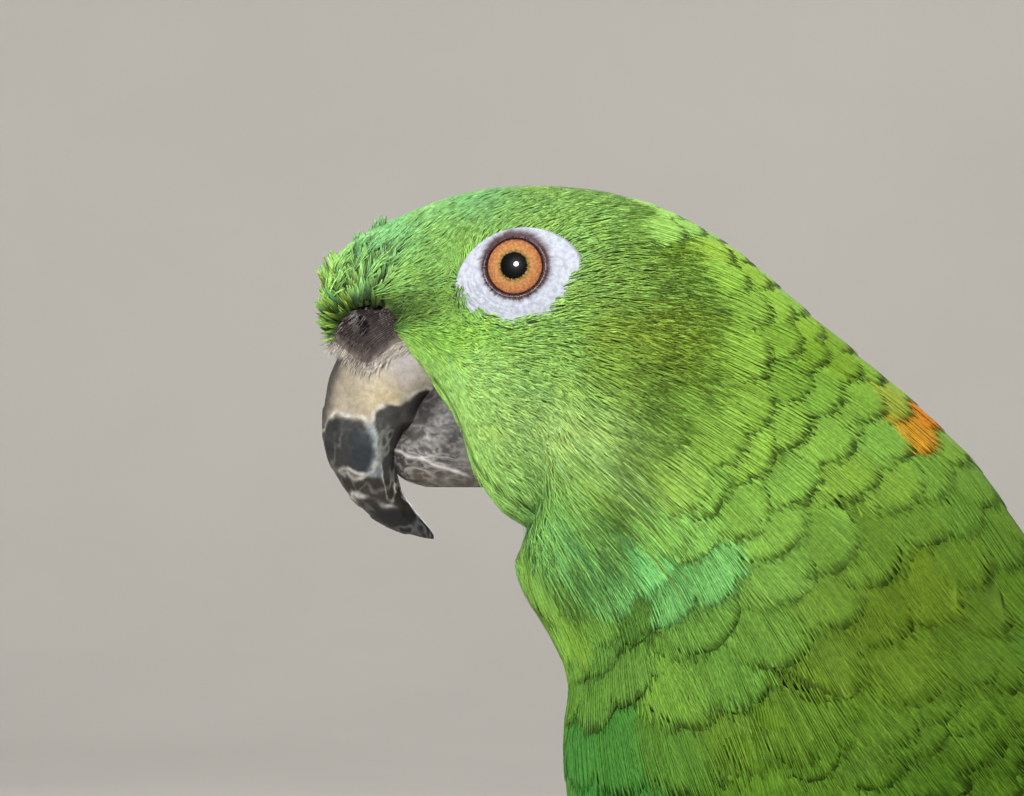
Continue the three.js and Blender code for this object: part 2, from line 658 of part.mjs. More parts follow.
// A claw leaves the toe's end, arches over and comes down to just above the ground.
function clawOf(side, name) {
  const { along, across } = toe(side, name);
  const start = new THREE.Vector3(FOOT.back, side * FOOT.out, 0)
    .addScaledVector(along, TOE_REACH[name] + GAP);
  const rings = [0, 0.3, 0.6, 0.85, 1].map((share) => {
    const centre = start.clone().addScaledVector(along, CLAW_LENGTH * 0.86 * Math.sin(share * 1.35));
    centre.z = 3.5 + 1.6 * Math.sin(Math.PI * share * 0.85) - 3.7 * share ** 1.6;
    const radius = CLAW_RADIUS * (1 - share) + 0.25;
    const lean = share * 1.2;
    const ring = [];
    for (let i = 0; i < CLAW_POINTS; i++) {
      const around = (2 * Math.PI * i) / CLAW_POINTS;
      const height = radius * Math.cos(around);
      ring.push(centre.clone()
        .addScaledVector(across, 0.8 * radius * Math.sin(around))
        .addScaledVector(along, height * Math.sin(lean))
        .add(new THREE.Vector3(0, 0, Math.max(height * Math.cos(lean), CLAW_LIFT - centre.z))));
    }
    return ring;
  });
  return loft(rings);
}

// ---- the bird ----
const bird = new THREE.Group();
const neckFront = station('throat');
const trunkFront = station('lower neck');
const trunkRoom = bodyLength(trunkFront, LAST, GAP * 1.6);

const cereBase = upperBill(CULMEN_BASE_ANGLE, CERE_END_ANGLE, CERE_THICKNESS, CERE_RINGS);
const cereSolid = mainBody(toGeometry(toSolid(cereBase).intersect(toSolid(aboveCereLine(0)))));
const upperSolid = cut(upperBill(CULMEN_BASE_ANGLE, CULMEN_TIP_ANGLE, 0), aboveCereLine(-GAP));
const lowerSolid = cut(lowerBill(0), upperBill(CULMEN_BASE_ANGLE - 4, CULMEN_TIP_ANGLE + 1, GAP));

const billRoom = [
  upperBill(CULMEN_BASE_ANGLE - 2, CULMEN_TIP_ANGLE, CERE_THICKNESS + GAP),
  lowerBill(GAP),
];
const sockets = Object.values(SIDES).map((side) => socket(side).applyMatrix4(eyeFrame(side)));
bird.add(part('head', cut(bodyLength(0, neckFront), ...billRoom, ...sockets), plumage));
bird.add(part('cere', cereSolid, cereSkin));
bird.add(part('upper_mandible', upperSolid, horn));
bird.add(part('lower_mandible', lowerSolid, darkHorn));
bird.add(part('neck', bodyLength(neckFront, trunkFront), plumage));
bird.add(part('trunk', bodyLength(trunkFront, LAST), plumage));
bird.add(part('tail', cut(tailFeathers(), trunkRoom), flightGreen));

for (const [name, side] of Object.entries(SIDES)) {
  const eye = new THREE.Group();
  eye.applyMatrix4(eyeFrame(side));
  eye.add(part(`eye_${name}`, eyeball(), iris));
  eye.add(part(`bare_skin_${name}`, bareRing(side), bareSkin));
  bird.add(eye);

  const coverts = wingCoverts(side);
  const feathers = cut(flightFeathers(side), wingCoverts(side, GAP), tailFeathers(GAP));
  bird.add(part(`wing_${name}`, coverts, wingGreen));
  bird.add(part(`flight_feathers_${name}`, feathers, flightGreen));

  const leg = tarsus(side);
  bird.add(part(`thigh_${name}`, cut(thigh(side), trunkRoom), plumage));
  bird.add(part(`tarsus_${name}`, leg, footScale));
  for (const end of ['front', 'back']) {
    const inner = `inner_${end}`;
    const outer = `outer_${end}`;
    const innerToe = cut(toe(side, inner).solid, tarsus(side, GAP));
    const outerToe = cut(toe(side, outer).solid, tarsus(side, GAP), toe(side, inner, GAP).solid);
    bird.add(part(`toe_${inner}_${name}`, innerToe, footScale));
    bird.add(part(`toe_${outer}_${name}`, outerToe, footScale));
    bird.add(part(`claw_${inner}_${name}`, clawOf(side, inner), claw));
    bird.add(part(`claw_${outer}_${name}`, clawOf(side, outer), claw));
  }
}

// The origin lies on the ground under the middle of the bird's box.
const box = new THREE.Box3().setFromObject(bird);
bird.position.set(-(box.min.x + box.max.x) / 2, 0, -box.min.z);
bird.updateMatrixWorld(true);

export default bird;
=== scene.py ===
import math
from functools import partial

import bmesh
import bpy
import numpy as np
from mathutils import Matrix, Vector
from mathutils.bvhtree import BVHTree
from mathutils.kdtree import KDTree


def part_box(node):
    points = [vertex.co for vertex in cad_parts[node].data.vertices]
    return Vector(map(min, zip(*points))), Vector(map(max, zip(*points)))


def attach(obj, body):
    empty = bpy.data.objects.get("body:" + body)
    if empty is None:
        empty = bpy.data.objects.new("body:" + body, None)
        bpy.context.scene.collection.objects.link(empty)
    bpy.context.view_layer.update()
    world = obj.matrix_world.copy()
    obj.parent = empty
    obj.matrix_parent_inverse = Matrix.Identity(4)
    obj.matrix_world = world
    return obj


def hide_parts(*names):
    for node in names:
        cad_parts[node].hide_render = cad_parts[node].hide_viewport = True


bl_info = {
    "name": "Amazon parrot",
    "version": (1, 0, 0),
    "blender": (4, 5, 0),
    "location": "View3D > Sidebar > Parrot",
    "description": "Skin, plumage, bill, eyes and feet of a standing amazon parrot",
    "category": "Object",
}

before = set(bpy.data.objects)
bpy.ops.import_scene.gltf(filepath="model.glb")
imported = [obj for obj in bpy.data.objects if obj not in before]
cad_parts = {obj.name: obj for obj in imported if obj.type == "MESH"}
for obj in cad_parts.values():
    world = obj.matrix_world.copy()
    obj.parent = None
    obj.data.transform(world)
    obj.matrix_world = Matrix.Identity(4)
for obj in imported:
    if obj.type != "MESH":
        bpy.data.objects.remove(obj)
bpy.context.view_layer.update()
MM = 0.001
SIDES = {"left": -1, "right": 1}
TOES = ("inner_front", "outer_front", "inner_back", "outer_back")


# ---- places taken from the frame, in millimetres ----
def node_box(name):
    """Lowest and highest corner of a node of the frame."""
    return tuple(np.array(corner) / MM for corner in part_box(name))


def box_middle(name):
    low, high = node_box(name)
    return (low + high) / 2


EYE_YAW = math.radians(9)         # the eyes look a little forwards and up
EYE_ROLL = math.radians(7)
EYE_RADIUS = 6.3
EYE_DEPTH = 4.2                   # the eye is flatter than a ball
IRIS_RADIUS = 4.95
PUPIL_RADIUS = 2.4
IRIS_MAP_MM = 20.0                # mm of the eye to one unit of its Iris map
EYE_MIDDLE = box_middle("eye_left")
EYE_PLACE = EYE_MIDDLE * (1, 0, 1) - (0.14, 0, 0.09)


def eye_axes(side):
    """Middle of the eyeball, with the eye's own axes: back along the head, up it, and out of it."""
    out = np.array([-math.sin(EYE_YAW), side, math.sin(EYE_ROLL)])
    out /= np.linalg.norm(out)
    back = unit(np.cross(out, (0, 0, 1.0)) * side)
    up = np.cross(out, back) * -side
    middle = EYE_MIDDLE * (1, 0, 1) + (0, side * abs(EYE_MIDDLE[1]), 0)
    return middle, np.array([back, up, out])


# ---- the body's form ----
# Sections through the bird from its face to its tail. Each is a plane from the back line to the belly
# line, given from the eye's place as (back, up), with its greatest half width and how far down that is.
BODY = (
    ((-35.2, -4.4), (-31.4, -8.0), 2.6, 0.50),        # 0 frontal tuft
    ((-33.2, 1.6), (-27.0, -10.8), 6.8, 0.50),        # 1 tuft tips
    ((-28.6, 5.6), (-21.5, -14.5), 10.4, 0.50),       # 2 brow
    ((-22.6, 8.8), (-15.8, -19.8), 13.2, 0.52),       # 3 lores
    ((-15.1, 12.0), (-10.6, -28.0), 15.8, 0.55),      # 4 forehead
    ((-8.0, 14.1), (-7.4, -36.8), 18.0, 0.57),        # 5 gape
    ((0.0, 15.0), (-3.0, -41.6), 20.2, 0.57),         # 6 eye
    ((8.5, 14.9), (3.4, -44.8), 21.6, 0.56),          # 7 crown
    ((17.8, 13.6), (3.2, -47.8), 22.6, 0.54),         # 8 cheek
    ((27.5, 10.2), (-0.2, -51.6), 23.8, 0.52),        # 9 throat
    ((38.0, 4.2), (1.6, -57.2), 25.4, 0.51),          # 10 nape
    ((49.0, -5.0), (6.4, -65.0), 27.0, 0.50),         # 11 upper neck
    ((60.2, -14.6), (9.4, -72.4), 29.0, 0.50),        # 12 neck
    ((71.5, -24.4), (8.7, -80.0), 31.2, 0.50),        # 13 lower neck
    ((81.5, -34.5), (8.8, -88.6), 33.4, 0.49),        # 14 shoulders
    ((90.0, -47.0), (10.2, -98.5), 35.2, 0.48),       # 15 mantle
    ((100.5, -61.0), (15.4, -112.5), 36.6, 0.48),     # 16 breast
    ((113.5, -77.0), (26.5, -130.0), 37.2, 0.48),     # 17 lower breast
    ((128.0, -92.5), (44.0, -147.5), 36.8, 0.48),     # 18 back
    ((143.0, -107.5), (68.0, -162.5), 35.2, 0.48),    # 19 belly
    ((158.0, -122.0), (95.0, -174.0), 32.0, 0.47),    # 20 lower back
    ((172.0, -136.0), (124.0, -182.5), 27.2, 0.46),   # 21 vent
    ((184.5, -149.0), (152.0, -188.6), 21.6, 0.46),   # 22 rump
    ((196.0, -161.0), (177.0, -193.0), 16.4, 0.46),   # 23 tail coverts
    ((206.0, -171.5), (199.0, -193.6), 13.2, 0.45),   # 24 covert tips
    ((213.5, -178.5), (212.0, -192.4), 9.0, 0.45),    # 25 last coverts
)
BODY_ROWS = np.array([(*top, *bottom, half, widest) for top, bottom, half, widest in BODY])
LAST = len(BODY) - 1
ROUNDNESS = 2.15                  # exponent of a section's outline, 2 is an ellipse


def spline(rows, at):
    """Smooth curve through equally spaced rows, read at the numbers in at."""
    last = len(rows) - 1
    first = np.clip(np.floor(at).astype(int), 0, last - 1)
    w = (at - first)[..., None]
    p0, p1 = rows[np.maximum(first - 1, 0)], rows[first]
    p2, p3 = rows[first + 1], rows[np.minimum(first + 2, last)]
    v0, v1 = (p2 - p0) / 2, (p3 - p1) / 2
    return (2 * p1 - 2 * p2 + v0 + v1) * w**3 + (3 * p2 - 3 * p1 - 2 * v0 - v1) * w**2 + v0 * w + p1


def power(value, exponent):
    return np.sign(value) * np.abs(value) ** exponent


def smooth(low, high, value):
    share = np.clip((value - low) / (high - low), 0, 1)
    return share * share * (3 - 2 * share)


def unit(vectors):
    return vectors / np.maximum(np.linalg.norm(vectors, axis=-1, keepdims=True), 1e-9)


# The folded wing lies on the body like a saddle flap.
WING_FRONT, WING_BACK = 14.9, 20.7        # sections at which it begins and ends
WING_LIFT = 1.95                  # mm by which its edge stands out of the body
WING_THICKNESS = 6.5              # mm by which its thickest part stands out further


def wing_share(at, angle):
    """Place on the folded wing: along it from its bend, and across it from its upper edge, 0 to 1."""
    along = np.clip((at - WING_FRONT) / (WING_BACK - WING_FRONT), 0, 1) ** (1 / 1.5)
    opening = np.sqrt(1 - (1 - np.minimum(1, along / 0.4)) ** 2)
    middle = 84 + (62 - 84) * smooth(0, 1, along)
    upper = middle - 3 - (46 - 10 * along) * opening
    lower = middle + 3 + (36 - 2 * along) * opening
    return along, (np.abs(angle) - upper) / (lower - upper)


def wing_swell(at, angle):
    """How far the folded wing stands out of the body's own outline."""
    along, across = wing_share(at, angle)
    share = smooth(-0.15, 0.25, across) * smooth(1.12, 0.8, across)
    share = share * smooth(WING_FRONT - 0.3, WING_FRONT + 1.3, at)
    share = share * smooth(WING_BACK + 1.5, WING_BACK - 0.6, at)
    swell = WING_THICKNESS * (0.25 + 0.75 * np.sin(np.pi * (0.12 + 0.68 * along)))
    return share * (WING_LIFT + swell * np.sin(np.pi * np.clip(across, 0.02, 0.98)) ** 0.6)


def body_point(at, angle, lift=0.0, winged=True):
    """Points on the bird's outline. at counts sections, angle is in degrees from the back line and is
    negative on the left side, and lift stands out of the outline in millimetres."""
    at, angle, lift = np.broadcast_arrays(np.asarray(at, float), np.asarray(angle, float), lift)
    held = np.clip(at, 0, LAST)
    rows = spline(BODY_ROWS, held)
    top, bottom, half, widest = rows[..., 0:2], rows[..., 2:4], rows[..., 4], rows[..., 5]
    past = np.where(at > LAST, 1.0, 0.0)[..., None] * (BODY_ROWS[-1] - BODY_ROWS[-2])[:4]
    past = past + np.where(at < 0, 1.0, 0.0)[..., None] * (BODY_ROWS[1] - BODY_ROWS[0])[:4]
    top = top + (at - held)[..., None] * past[..., 0:2]
    bottom = bottom + (at - held)[..., None] * past[..., 2:4]
    depth = np.linalg.norm(bottom - top, axis=-1)
    down = (bottom - top) / depth[..., None]
    upward, outward = np.cos(np.radians(angle)), np.sin(np.radians(angle))
    if winged:
        lift = lift + wing_swell(at, angle)
    reach = np.where(upward > 0, widest, 1 - widest) * depth + lift
    rise = power(upward, 2 / ROUNDNESS) * reach
    across = power(outward, 2 / ROUNDNESS) * (half + lift)
    spine = top + down * (widest * depth - rise)[..., None]
    return np.stack([spine[..., 0], across, spine[..., 1]], axis=-1) + EYE_PLACE


# ---- random patterns ----
HASH_PRIMES = (73856093, 19349663, 83492791)


def lattice_noise(points, size, seed):
    """Smooth noise from -1 to 1 with features about size across, the same on every run."""
    grid = points / size
    cell = np.floor(grid).astype(np.int64)
    w = grid - cell
    w = w * w * (3 - 2 * w)
    total = 0
    for corner in np.ndindex(*(2,) * points.shape[-1]):
        key = cell + np.array(corner)
        mixed = np.full(key.shape[:-1], seed * 7919 + 17, dtype=np.int64)
        for axis in range(points.shape[-1]):
            mixed = (mixed ^ (key[..., axis] * HASH_PRIMES[axis])) * 2654435761 % 4294967291
        value = mixed % 65536 / 32768 - 1
        weight = np.prod(np.where(np.array(corner) == 1, w, 1 - w), axis=-1)
        total = total + value * weight
    return total


def rough_noise(points, size, seed, octaves=3):
    """Lattice noise with finer layers added, from about -1 to 1."""
    total = 0
    for octave in range(octaves):
        total = total + lattice_noise(points, size / 2**octave, seed + octave) / 2**octave
    return total / (2 - 2 / 2**octaves)


# ---- colours ----
def zone(back, up, middle, reach):
    """How strongly a place belongs to a soft oval zone: 1 in its middle, 0.5 at its reach."""
    return 0.5 ** (((back - middle[0]) / reach[0]) ** 2 + ((up - middle[1]) / reach[1]) ** 2)


def linear(hex_colour):
    """sRGB hex colour as three linear values."""
    values = [int(hex_colour[i : i + 2], 16) / 255 for i in (1, 3, 5)]
    return tuple(v / 12.92 if v <= 0.04045 else ((v + 0.055) / 1.055) ** 2.4 for v in values)


# Markings: a colour, its place (back, up) from the eye, how far it spreads each way, and its strength.
MARKINGS = (
    ("#84BE7C", (-22, 8), (9, 7), 0.9),           # turquoise forehead
    ("#80BC7E", (-6, 13), (9, 4), 0.75),          # and the front of the crown
    ("#8AB25C", (8, 13), (10, 5), 0.6),           # yellower crown
    ("#7FAE58", (-13, 1), (7, 6), 0.6),           # before the eye
    ("#5A7C38", (-16, -7), (7, 4), 0.75),         # darker lores
    ("#3C5024", (-20.5, -7.0), (6, 3.8), 0.95),   # shadowed feathers behind the cere
    ("#84B83C", (-9, -13), (9, 3.5), 0.8),        # lime under them
    ("#9CC670", (-4, -24), (9, 10), 0.8),         # pale cheek
    ("#A6C878", (10, -30), (12, 8), 0.8),         # and its lower edge
    ("#8CB25A", (17, 1), (9, 6), 0.6),            # behind the eye
    ("#869F3A", (26, -12), (13, 8), 0.9),         # olive ear coverts
    ("#7F9F2E", (34, 4), (12, 3.5), 0.7),         # yellow-lime edge of the crown
    ("#668420", (52, -14), (16, 8), 0.8),         # olive-green nape
    ("#6AA662", (8, -50), (9, 5.5), 0.85),        # turquoise throat
    ("#5BA566", (27, -52), (13, 6), 0.75),        # and the side of the neck behind it
    ("#34591F", (24, -63), (17, 7), 0.85),        # green of the lower throat, darkened with painted shade
    ("#AA6A14", (69.4, -24.2), (3.5, 3.2), 2.5),  # orange-yellow patch on the nape
    ("#2F5419", (15, -84), (11, 17), 0.8),        # painted shade on the front of the breast
    ("#2F7434", (13, -89), (10, 9), 0.75),        # bluer green in its middle
    ("#4C6012", (66, -56), (19, 15), 0.85),       # olive side of the lower neck
)
HEAD_GREEN = "#92BE61"
NECK_GREEN = "#6F963A"
BACK_GREEN = "#3B5B16"
BREAST_GREEN = "#3E5D11"
BELLY_GREEN = "#66862A"
RUMP_GREEN = "#5C8228"
THIGH_GREEN = "#56802A"
OLIVE = "#6B6A16"
DOWN = "#5E7A3E"
FOOT_GREY = "#8D8B8C"
LIME = "#6C9A2C"
VANE_EDGE, BARB_EDGE = "#22402A", "#0F1D12"
OLIVE_SHARE = 0.35                # how much olive clouds the trunk's green
MOTTLING = 0.14                   # how much lighter or darker the coat is from place to place


def linear_array(hex_colour):
    return np.array(linear(hex_colour))


def plumage_colour(points, angle, at):
    """Colour of the coat at places on the body, the same for skin and feathers."""
    from_eye = points - EYE_PLACE
    back, up = from_eye[..., 0], from_eye[..., 2]
    dorsal = smooth(110, 40, np.abs(angle))[..., None]
    trunk = smooth(12.0, 16.0, at)[..., None]
    low = smooth(16, 20, at)[..., None]
    under = (1 - low) * linear_array(BREAST_GREEN) + low * linear_array(BELLY_GREEN)
    body = (1 - dorsal) * under + dorsal * linear_array(BACK_GREEN)
    rump = smooth(21.5, 23.5, at)[..., None]
    body = body * (1 - rump) + rump * linear_array(RUMP_GREEN)
    neck = smooth(7, 11, at)[..., None]
    colour = (1 - neck) * linear_array(HEAD_GREEN) + neck * linear_array(NECK_GREEN)
    colour = (1 - trunk) * colour + trunk * body
    for shade, (x, z), (reach_x, reach_z), strength in MARKINGS:
        fall = np.exp(-(((back - x) / reach_x) ** 2) - ((up - z) / reach_z) ** 2)
        share = np.minimum(1, strength * fall)
        colour = colour + (linear_array(shade) - colour) * share[..., None]
    olive = (OLIVE_SHARE * trunk[..., 0] * smooth(0.0, 0.7, rough_noise(points, 17, 31)))[..., None]
    colour = colour + (linear_array(OLIVE) - colour) * olive
    return colour * (1 + MOTTLING * rough_noise(points, 11, 47))[..., None]


# ---- meshes ----
def new_piece(name, points, faces, material):
    """Mesh object from points in millimetres and arrays of three- and four-sided faces."""
    mesh = bpy.data.meshes.new(name)
    mesh.vertices.add(len(points))
    mesh.vertices.foreach_set("co", (np.asarray(points) * MM).astype(np.float32).ravel())
    loops = np.concatenate([f.ravel() for f in faces])
    corners = np.concatenate([np.full(len(f), f.shape[1]) for f in faces])
    mesh.loops.add(len(loops))
    mesh.loops.foreach_set("vertex_index", loops.astype(np.int32))
    mesh.polygons.add(len(corners))
    starts = np.concatenate([[0], np.cumsum(corners)[:-1]])
    mesh.polygons.foreach_set("loop_start", starts.astype(np.int32))
    mesh.polygons.foreach_set("use_smooth", np.full(len(corners), True))
    mesh.update(calc_edges=True)
    mesh.materials.append(material)
    piece = bpy.data.objects.new(name, mesh)
    bpy.context.scene.collection.objects.link(piece)
    return piece


def corner_points(mesh):
    corners = np.empty(len(mesh.loops), dtype=np.int32)
    mesh.loops.foreach_get("vertex_index", corners)
    return corners


def add_map(piece, name, places, active=False):
    """UV map from one place for each point of the mesh."""
    layer = piece.data.uv_layers.new(name=name)
    layer.data.foreach_set("uv", places[corner_points(piece.data)].astype(np.float32).ravel())
    if active:
        layer.active_render = True
        piece.data.uv_layers.active = layer


def add_colours(piece, name, colours):
    """Colour attribute from one linear colour for each point."""
    attribute = piece.data.color_attributes.new(name=name, type="FLOAT_COLOR", domain="POINT")
    solid = np.concatenate([np.clip(colours, 0, 1), np.ones((len(colours), 1))], axis=1)
    attribute.data.foreach_set("color", solid.astype(np.float32).ravel())


def add_values(piece, name, values):
    attribute = piece.data.attributes.new(name=name, type="FLOAT", domain="POINT")
    attribute.data.foreach_set("value", values.astype(np.float32))


def around(start, end, count):
    """Equal steps from start up to, but not at, end."""
    return np.linspace(start, end, count, endpoint=False)


def mesh_of(rows, columns):
    """Two arrays, a row for each of the first values and a column for each of the second."""
    return np.meshgrid(rows, columns, indexing="ij")


def grid_faces(rows, columns, closed_columns=False):
    """Four-sided faces over a grid of points, row by row."""
    across = columns if closed_columns else columns - 1
    r, c = mesh_of(np.arange(rows - 1), np.arange(across))
    after = (c + 1) % columns
    corners = (r * columns + c, r * columns + after, (r + 1) * columns + after, (r + 1) * columns + c)
    return np.stack([k.ravel() for k in corners], axis=1)


def face_outwards(piece):
    """Turns every closed shell of a piece so that its faces point outwards."""
    shape = bmesh.new()
    shape.from_mesh(piece.data)
    bmesh.ops.remove_doubles(shape, verts=shape.verts, dist=1e-7)
    bmesh.ops.recalc_face_normals(shape, faces=shape.faces)
    shape.to_mesh(piece.data)
    shape.free()


def loft_piece(name, rings, material):
    """Closed skin over rings of points, an array of rings by points by three."""
    rows, columns = rings.shape[:2]
    points = np.concatenate([rings.reshape(-1, 3), rings[0].mean(0)[None], rings[-1].mean(0)[None]])
    first_row = np.arange(columns)
    after = (first_row + 1) % columns
    first, last = rows * columns, rows * columns + 1
    caps = np.concatenate([
        np.stack([np.full(columns, first), after, first_row], 1),
        np.stack([np.full(columns, last), first - columns + first_row, first - columns + after], 1),
    ])
    return new_piece(name, points, [grid_faces(rows, columns, True), caps], material)


def finish_piece(piece, slot, *nodes):
    """Attaches a piece to the root and hides the nodes of the frame that it stands for. The slot is not used.
    """
    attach(piece, "root")
    if nodes:
        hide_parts(*nodes)


def join_pieces(name, pieces):
    """One object from several, keeping the first one's place in the scene."""
    bpy.ops.object.select_all(action="DESELECT")
    for piece in pieces:
        piece.select_set(True)
    bpy.context.view_layer.objects.active = pieces[0]
    bpy.ops.object.join()
    pieces[0].name = name
    pieces[0].data.name = name
    return pieces[0]


# ---- materials ----
def node(tree, kind, inputs=(), **settings):
    """Adds a node with its settings and with what goes into its inputs, values or other nodes' outputs,
    in order or by key. Gives the node's own outputs."""
    made = tree.nodes.new(kind)
    made.location = (200 * (len(tree.nodes) % 8), -260 * (len(tree.nodes) // 8))
    for key, value in settings.items():
        setattr(made, key, value)
    for key, value in inputs.items() if isinstance(inputs, dict) else enumerate(inputs):
        if isinstance(value, bpy.types.NodeSocket):
            tree.links.new(value, made.inputs[key])
        else:
            made.inputs[key].default_value = value
    return made.outputs


SMOOTHLY = {"interpolation_type": "SMOOTHSTEP"}
MIXED = {"data_type": "RGBA", "blend_type": "MIX"}
MULTIPLIED = {"data_type": "RGBA", "blend_type": "MULTIPLY"}


def grain(vector, size_mm, detail=3.0, roughness=0.6):
    """Inputs of a noise with features about size_mm across, read from a vector in metres."""
    return {"Vector": vector, "Scale": 1 / (size_mm * MM), "Detail": detail, "Roughness": roughness}


def opaque(hex_colour):
    return (*linear(hex_colour), 1)


def start_material(name):
    """Empty tree of a new material."""
    material = bpy.data.materials.new(name)
    material.use_nodes = True
    material.node_tree.nodes.clear()
    return material.node_tree


def end_material(tree, inputs, relief=None, relief_mm=0.0, strength=0.6):
    """Ends a material in one surface, even or with a relief of some depth."""
    if relief is not None:
        relief = {"Strength": strength, "Distance": relief_mm * MM, "Height": relief}
        inputs["Normal"] = node(tree, "ShaderNodeBump", relief)[0]
    surface = node(tree, "ShaderNodeBsdfPrincipled", inputs)[0]
    node(tree, "ShaderNodeOutputMaterial", (surface,))


def painted(tree, attribute, shade):
    """A piece's own painted colour, made lighter and darker by a shade."""
    colour = node(tree, "ShaderNodeAttribute", attribute_name=attribute)["Color"]
    tint = node(tree, "ShaderNodeCombineColor", (shade, shade, shade))[0]
    return node(tree, "ShaderNodeMix", {0: 1.0, 6: colour, 7: tint}, **MULTIPLIED)[2]


BARB_SPACING = 0.46               # mm between the barbs of a contour feather
FLIGHT_BARB_SPACING = 0.5
BARB_SLANT = 0.28                 # how far a barb runs out from the shaft on its way along the feather
BARB_DEPTH = 0.30                 # how much painted shade darkens the gaps between barbs
VANE_UNIT = 10.0                  # mm of feather to one unit of its Vane map
KERATIN_IOR = 1.54
FEATHER_GLOSS = 0.06              # barbs stand apart and trap most of the gloss of their smooth keratin


def vane_material(name, spacing, rough):
    """Feather vane: keratin barbs, matt with a soft silky gloss. They leave the shaft at a slant and
    show as fine lines that run nearly along the feather."""
    tree = start_material(name)
    place = node(tree, "ShaderNodeTexCoord")["Object"]
    flat = node(tree, "ShaderNodeUVMap", uv_map="Vane")[0]
    across, along, _ = node(tree, "ShaderNodeSeparateXYZ", (flat,))
    across = node(tree, "ShaderNodeMath", (across, 0.5), operation="SUBTRACT")[0]
    across = node(tree, "ShaderNodeMath", (across,), operation="ABSOLUTE")[0]
    wobble = node(tree, "ShaderNodeTexNoise", grain(place, 3.0))[0]
    slant = node(tree, "ShaderNodeMath", (along, -BARB_SLANT, across), operation="MULTIPLY_ADD")[0]
    slant = node(tree, "ShaderNodeMath", (wobble, 0.03, slant), operation="MULTIPLY_ADD")[0]
    turns = 2 * math.pi * VANE_UNIT / spacing
    wave = node(tree, "ShaderNodeMath", (slant, turns), operation="MULTIPLY")[0]
    wave = node(tree, "ShaderNodeMath", (wave,), operation="SINE")[0]
    barb = node(tree, "ShaderNodeMapRange", (wave, -1.0, 0.5, 0.0, 1.0), **SMOOTHLY)[0]
    broken = node(tree, "ShaderNodeTexNoise", grain(place, 1.3, 4.0))[0]
    depth = (broken, 0.25, 0.7, BARB_DEPTH * 0.35, BARB_DEPTH * 1.5)
    depth = node(tree, "ShaderNodeMapRange", depth, **SMOOTHLY)[0]
    # The gaps between the barbs are darker: painted shade between them.
    shade = node(tree, "ShaderNodeMath", (barb, 0.75), operation="SUBTRACT")[0]
    shade = node(tree, "ShaderNodeMath", (shade, depth), operation="MULTIPLY")[0]
    shade = node(tree, "ShaderNodeMath", (shade, 1.0), operation="ADD")[0]
    clouds = node(tree, "ShaderNodeTexNoise", grain(place, 4.0, 3.0))[0]
    clouds = node(tree, "ShaderNodeMapRange", (clouds, 0.3, 0.7, 0.9, 1.1), **SMOOTHLY)[0]
    shade = node(tree, "ShaderNodeMath", (shade, clouds), operation="MULTIPLY")[0]
    gloss = node(tree, "ShaderNodeMapRange", (barb, 0.0, 1.0, rough + 0.1, rough), **SMOOTHLY)[0]
    end_material(tree, {
        "Base Color": painted(tree, "Plumage", shade), "Roughness": gloss, "IOR": KERATIN_IOR,
        "Specular IOR Level": FEATHER_GLOSS,
    }, barb, 0.12)


def barb_material():
    """Loose barbs of the small head feathers: hair-fine keratin with a soft shine."""
    tree = start_material("Head barbs")
    place = node(tree, "ShaderNodeTexCoord")["Object"]
    speck = node(tree, "ShaderNodeTexNoise", grain(place, 0.7, 2.0))[0]
    shade = node(tree, "ShaderNodeMapRange", (speck, 0.25, 0.8, 0.78, 1.2), **SMOOTHLY)[0]
    gloss = node(tree, "ShaderNodeMapRange", (speck, 0.2, 0.8, 0.62, 0.5), **SMOOTHLY)[0]
    end_material(tree, {
        "Base Color": painted(tree, "Plumage", shade), "Roughness": gloss, "IOR": KERATIN_IOR,
        "Specular IOR Level": FEATHER_GLOSS,
    })


# ---- where the feathers grow ----
EYE_PATCH = (21.0, 16.0)          # length and height of the almond of bare skin
EYE_PATCH_TILT = math.radians(15)
EYE_PATCH_OFFSET = (0.3, -1.3)


def almond_place(point, side):
    """How far out a place lies on the eye's almond, 1 on its outline, and its place in the eye's axes."""
    middle, axes = eye_axes(side)
    local = (point - middle - axes[2] * EYE_DEPTH) @ axes.T
    x, y = local[..., 0] - EYE_PATCH_OFFSET[0], local[..., 1] - EYE_PATCH_OFFSET[1]
    c, s = math.cos(EYE_PATCH_TILT), math.sin(EYE_PATCH_TILT)
    u = np.abs(x * c + y * s) / (EYE_PATCH[0] / 2)
    v = np.abs(y * c - x * s) / (EYE_PATCH[1] / 2)
    return np.sqrt(u**2 + v ** (5 / 3)), local


def head_flow(point, at, angle, along, out):
    """Lie of the feathers: on the face they part at the gape and behind the cere and sweep round the
    bare skin of the eye, and further back they lie along the body."""
    from_eye = point - EYE_PLACE
    back, across, up = from_eye[..., 0], from_eye[..., 1], from_eye[..., 2]
    crown = smooth(-12, -4, up)[..., None]
    upper = unit(np.stack([back + 35, 0.5 * across, up + 7.2], -1))
    lower = unit(np.stack([back + 19.4, 0.3 * across, up + 9.0], -1))
    trunk = smooth(8.0, 13.0, at)[..., None]
    flow = (upper * crown + lower * (1 - crown)) * (1 - trunk) + unit(along) * trunk
    flow = unit(flow - out * np.sum(flow * out, -1, keepdims=True))
    for side in SIDES.values():
        share, local = almond_place(point, side)
        _, axes = eye_axes(side)
        outward = unit(local[..., :2]) @ axes[:2]
        near = np.where((np.sign(angle) == side) & (at < 10), smooth(1.8, 1.05, share), 0)[..., None]
        inward = np.minimum(np.sum(flow * outward, -1, keepdims=True) - 0.15, 0)
        flow = flow - outward * inward * near
    return unit(flow - out * np.sum(flow * out, -1, keepdims=True))


